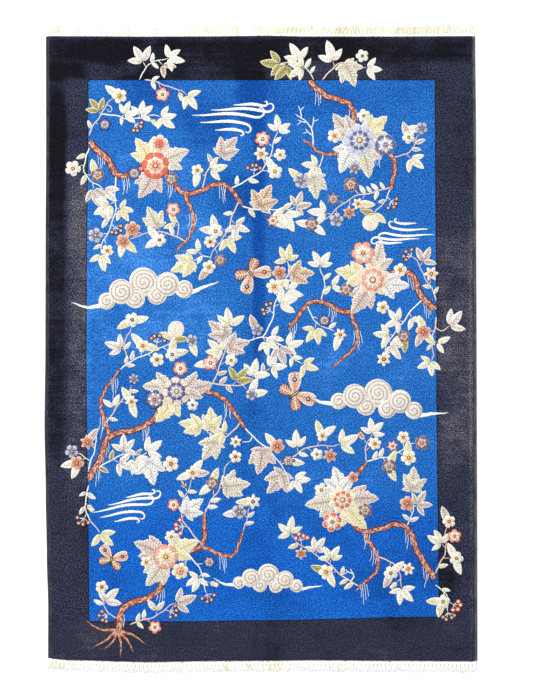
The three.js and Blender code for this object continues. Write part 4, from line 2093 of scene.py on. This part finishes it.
@dataclass(frozen=True)
class SideCords:
    """The overcast cords along the two long sides, in mm."""

    form: RugForm
    wrap: float = 2.9  # from one turn of the yarn to the next
    wrap_rows: int = 3
    yarn: float = 2.0
    pinch: float = 0.14  # how much narrower the cord is between two turns, as a share
    sides: int = 10

    def build(self) -> list[bpy.types.Object]:
        """Makes both cords: flat tubes, wider than the core by the yarn, that swell at each turn.

        Returns:
            The cords, left and right.
        """
        form, made = self.form, []
        overcast = Yarn("overcast_wool", twist=1.0, pitch=self.wrap).material()
        for name, side, way in (
            ("side_cord_left", -1, DARK_CORD_WAY),
            ("side_cord_right", 1, TAUPE_CORD_WAY),
        ):
            length = form.pile_length - 2
            count = int(length / self.wrap) * self.wrap_rows
            along = np.linspace(-length / 2, length / 2, count)
            x, y = form.strayed(side * form.half_body, along)
            half = (form.cord_width + self.yarn) / 2
            swell = 1 - self.pinch * np.abs(np.cos(np.pi * np.arange(count) / self.wrap_rows))
            x = x + side * (form.gap + half)
            path = np.stack([x, y, np.full(count, form.cord_height / 2)], -1)
            piece = Piece("overcast_" + ("left" if side < 0 else "right"))
            flatten = form.cord_height / 2 / half
            piece.add(tubes(path[None], (half * swell)[None], self.sides, flatten), way)
            cord = piece.make(form.shift, overcast)
            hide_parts(name)
            made.append(cord)
        return made


# Each a row of places in mm across an end, and a row of how aged the cotton is there.
WEAR_TOP = ((-610, -330, -160, 0, 160, 610), (0.2, 0.2, 0.6, 0.9, 1.3, 1.4))
WEAR_BOTTOM = ((-610, -585, -560, -40, -10, 30, 60, 580, 610), (1.1, 0.6, 0, 0, 0.3, 0.3, 0, 0, 0.9))
KNOT_SHARE = 0.17  # how far out along its lock a knot is tied
# Each a row of shares of a lock's length, and a row of sizes in mm there.
LOCK_SPREAD = ((0, 0.12, 0.2, 0.34, 1), (5.3, 4.4, 3.0, 4.2, 5.6))
LOCK_HEIGHT = ((0, KNOT_SHARE, 0.3, 1), (1.4, 1.8, 1.4, 0.95))
WARP_RADIUS = ((0, 0.85, 1), (0.85, 0.8, 0.35))


@dataclass(frozen=True)
class WarpFringe:
    """The flat-woven ends and their knotted locks of warp, in mm."""

    form: RugForm
    yarns: int = 9
    steps: int = 8
    leaning: float = 1.4  # a lock leans by its share of length to this power
    knot_half: float = 3.4
    knot_height: float = 1.7
    knot_radius: float = 1.6
    groove: float = 0.35  # how deep the band's wefts are parted
    lip: float = 0.4  # how far its edges are rounded

    def sway(self, index: Array, end: int) -> Array:
        """How far each lock leans: two slow waves that neighbours share."""
        return 4.2 * np.sin(index * 0.19 + end) + 2.4 * np.sin(index * 0.071 + 2 * end)

    def ages(self, middle: Array, end: int, chance: Array) -> Array:
        """Which cotton each lock has: read off the end's wear at its place, with a wave and by chance.

        Args:
            middle: the locks' places across.
            end: 1 for the top end, or -1.
            chance: a random value for each lock.

        Returns:
            The number of its colourway for each lock.
        """
        worn = np.interp(middle, *(WEAR_TOP if end > 0 else WEAR_BOTTOM))
        wave = 0.45 * np.sin(middle * 0.031) + 0.3 * np.sin(middle * 0.083 + end)
        level = worn + wave * (worn > 0) + 0.25 * chance
        return np.clip(np.round(level), 0, len(COTTON_WAYS) - 1)

    def build(self) -> list[bpy.types.Object]:
        """Makes a band and its locks at each end.

        Yarn j of a lock starts at its place across the band, is drawn towards the lock's middle at
        the knot, a sixth of the way out, and opens again to its place in the tail.

        Returns:
            The fringes, top and bottom.
        """
        form, made = self.form, []
        cotton = Yarn("cotton_warp", twist=1.0, pitch=2.6, relief=0.15).material()
        for name, end in (("fringe_top", 1), ("fringe_bottom", -1)):
            random = np.random.default_rng(SEED + 5 + end)
            index = np.arange(form.lock_count)
            middle = -form.width / 2 + (index + 0.5) * form.width / form.lock_count
            length = form.lock_length * (0.8 + 0.2 * random.random(form.lock_count))
            lean = self.sway(index, end) + random.normal(0, 1.0, form.lock_count)
            age = self.ages(middle, end, random.normal(0, 1.0, form.lock_count))
            share = np.linspace(0, 1, self.steps)[None, None]
            own = np.linspace(-1, 1, self.yarns)[None, :, None]
            loose = random.normal(0, 1.0, (form.lock_count, self.yarns, 1))
            x = middle[:, None, None] + own * np.interp(share, *LOCK_SPREAD) + loose * share**2 * 1.6
            x = x + lean[:, None, None] * share**self.leaning
            reach = length[:, None, None] * (1 + 0.08 * random.normal(0, 1, (form.lock_count, self.yarns, 1)))
            out = form.band_width - 1.0 + reach * share
            z = np.interp(share, *LOCK_HEIGHT) + 0.35 * np.abs(np.sin(own * 9 + share * 8))
            x, out, z = np.broadcast_arrays(x, out, z)
            moved, edge = form.strayed(x, end * form.half_length)
            paths = np.stack([moved, edge + end * (form.gap + out), z], -1)
            radii = np.broadcast_to(np.interp(share, *WARP_RADIUS), paths.shape[:3])
            piece = Piece("warp_" + name)
            for level, way in enumerate(COTTON_WAYS):
                own_age = age == level
                if not own_age.any():
                    continue
                strands = paths[own_age].reshape(-1, self.steps, 3)
                piece.add(tubes(strands, radii[own_age].reshape(-1, self.steps), 4, 0.55), way)
                knot_x = middle[own_age] + lean[own_age] * KNOT_SHARE**self.leaning
                piece.add(self.knots(knot_x, length[own_age] * KNOT_SHARE, end), way)
            piece.add(self.band(end), COTTON_WAYS[0])
            fringe = piece.make(form.shift, cotton)
            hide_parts(name)
            made.append(fringe)
        return made

    def knots(self, x: Array, out: Array, end: int) -> Block:
        """A short fat roll across each lock where it is tied.

        Args:
            x: the knots' places across.
            out: their distances beyond the band.
            end: 1 for the top end, or -1.

        Returns:
            The knots.
        """
        across = np.linspace(-1, 1, 5)
        xs = x[:, None] + across * self.knot_half
        moved, edge = self.form.strayed(xs, end * self.form.half_length)
        y = edge + end * (self.form.gap + self.form.band_width + out[:, None])
        paths = np.stack([moved, y, np.full(xs.shape, self.knot_height)], -1)
        radii = np.broadcast_to(self.knot_radius * np.sqrt(1 - 0.85 * across**2), xs.shape)
        return tubes(paths, radii, 6, 0.95)

    def band(self, end: int) -> Block:
        """The flat-woven strip between pile and locks, its wefts as small ribs.

        Args:
            end: 1 for the top end, or -1.

        Returns:
            The band.
        """
        form = self.form
        x = np.linspace(-form.width / 2, form.width / 2, 330)
        moved, edge = form.strayed(x, end * form.half_length)
        path = np.stack([moved, edge + end * (form.gap + form.band_width / 2)], -1)
        half = np.full(len(x), form.band_width / 2)
        top = form.band_height
        low, rounded = top - self.groove, top - self.lip
        across = (-1, -0.96, -0.6, -0.25, 0.1, 0.45, 0.8, 0.96, 1)
        heights = (0.0, rounded, top, low, top, low, top, rounded, 0.0)
        return ribbon(path, half, across, heights, lambda x, y: np.zeros(np.shape(x)))


@dataclass(frozen=True)
class EdgeTufts:
    """Loose tufts that lean out over the cords and bands all round the pile, in mm."""

    form: RugForm
    pitch: float = 3.1
    inset: float = 1.2  # how far inside the pile's outline they are rooted
    root_height: tuple[float, float] = (3.0, 8.0)
    reach: tuple[float, float] = (1.5, 3.4)
    long_share: float = 0.06  # so many of them reach twice as far
    slant: float = 0.35  # how far they stray to a side, against their reach
    droop: tuple[float, float] = (0.1, 0.6)
    lowest: float = 1.2
    radius: tuple[float, float, float] = (1.2, 1.0, 0.3)

    def build(self) -> bpy.types.Object:
        """Makes a short tapered tuft every few mm: out by its length, and down by a share of it.

        Returns:
            The tufts.
        """
        form, random = self.form, np.random.default_rng(SEED + 9)
        stations = []
        for half, other, turned in (
            (form.half_length, form.half_body, False),
            (form.half_body, form.half_length, True),
        ):
            for side in (-1, 1):
                run = np.arange(-half + 3, half - 3, self.pitch)
                away = np.full(len(run), side * (other - self.inset))
                x, y = (run, away) if turned else (away, run)
                facing = (0.0, side) if turned else (side, 0.0)
                stations.append(np.column_stack([x, y, np.tile(facing, (len(run), 1))]))
        at = np.concatenate(stations)
        x, y = form.strayed(at[:, 0], at[:, 1])
        count = len(x)
        root = random.uniform(*self.root_height, count)
        length = random.uniform(*self.reach, count)
        length = length * np.where(random.random(count) < self.long_share, 2.0, 1.0)
        side = random.normal(0, self.slant, count)
        out = at[:, 2:4] + side[:, None] * np.column_stack([-at[:, 3], at[:, 2]])
        share = np.linspace(0, 1, 4)[None, :, None]
        flat = np.column_stack([x, y])[:, None] + out[:, None] * length[:, None, None] * share
        fall = length * random.uniform(*self.droop, count)
        z = np.maximum(root[:, None] - fall[:, None] * share[..., 0] ** 2, self.lowest)
        paths = np.concatenate([flat, z[..., None]], -1)
        radii = np.broadcast_to(np.interp(share[..., 0], (0, 0.5, 1), self.radius), paths.shape[:2])
        piece = Piece("edge_tufts")
        piece.add(tubes(paths, radii, 4), TUFT_WAY)
        return piece.make(form.shift, Yarn("tuft_wool", twist=0.0, pitch=3.0).material())


@dataclass(frozen=True)
class Studio:
    """The pale floor, the soft light and the overhead camera, in metres."""

    picture_width: int = 540
    picture_height: int = 694
    scale: float = 2.8425  # mm of rug to a picture point
    rug_middle: tuple[float, float] = (260.9, 348.55)
    height: float = 12.0
    pile_top: float = 0.009
    sensor: float = 36.0  # mm
    clip_end: float = 60.0
    floor_half: float = 14.0
    floor_drop: float = 0.0004
    floor_tone: float = 0.93
    floor_roughness: float = 0.9
    surround: float = 0.64
    lamp_place: tuple[float, float, float] = (-4.5, 5.0, 8.5)
    lamp_size: float = 4.0
    lamp_watts: float = 1250.0

    def floor(self) -> None:
        """A wide plain floor just under the rug."""
        mesh = bpy.data.meshes.new("floor")
        half, low = self.floor_half, -self.floor_drop
        corners = [(-half, -half, low), (half, -half, low), (half, half, low), (-half, half, low)]
        mesh.from_pydata(corners, [], [(0, 1, 2, 3)])
        material, _, shader = blank_finish("pale_floor")
        shader.inputs["Base Color"].default_value = (*[self.floor_tone] * 3, 1)
        shader.inputs["Roughness"].default_value = self.floor_roughness
        mesh.materials.append(material)
        floor = placed("floor", mesh)

    def light(self) -> None:
        """An even white surround and one broad lamp from the upper left."""
        world = bpy.data.worlds.new("surround")
        world.use_nodes = True
        world.node_tree.nodes["Background"].inputs["Color"].default_value = (1, 1, 1, 1)
        world.node_tree.nodes["Background"].inputs["Strength"].default_value = self.surround
        bpy.context.scene.world = world
        data = bpy.data.lights.new("soft_lamp", "AREA")
        data.shape = "SQUARE"
        data.size = self.lamp_size
        data.energy = self.lamp_watts
        lamp = placed("soft_lamp", data)
        lamp.location = self.lamp_place
        lamp.rotation_euler = (Vector((0, 0, 0)) - lamp.location).to_track_quat("-Z", "Y").to_euler()

    def camera(self, shift: Array) -> None:
        """Looks straight down through a long lens, so that the rug lies as it does in the picture.

        Args:
            shift: from the plan's middle to the frame's origin, in mm.
        """
        data = bpy.data.cameras.new("overhead")
        data.sensor_fit = "AUTO"
        data.sensor_width = self.sensor
        covered = self.picture_height * self.scale * MM
        data.lens = data.sensor_width * (self.height - self.pile_top) / covered
        data.clip_end = self.clip_end
        camera = placed("overhead", data)
        right = (self.picture_width / 2 - self.rug_middle[0]) * self.scale
        up = (self.rug_middle[1] - self.picture_height / 2) * self.scale
        camera.location = ((shift[0] + right) * MM, (shift[1] + up) * MM, self.height)
        bpy.context.scene.camera = camera
        bpy.context.scene.view_settings.view_transform = "Standard"


def main() -> None:
    """Builds the studio and the rug's pieces."""
    form = RugForm()
    studio = Studio()
    studio.camera(form.shift)
    studio.floor()
    studio.light()
    knots = KnottedWool()
    ground = PileGround(form, knots).build()
    draft = Draft(form).draw()
    laid_in = KnottedPattern(form, draft, knots).build()
    cords = SideCords(form).build()
    fringes = WarpFringe(form).build()
    tufts = EdgeTufts(form).build()


if __name__ == "__main__":
    main()
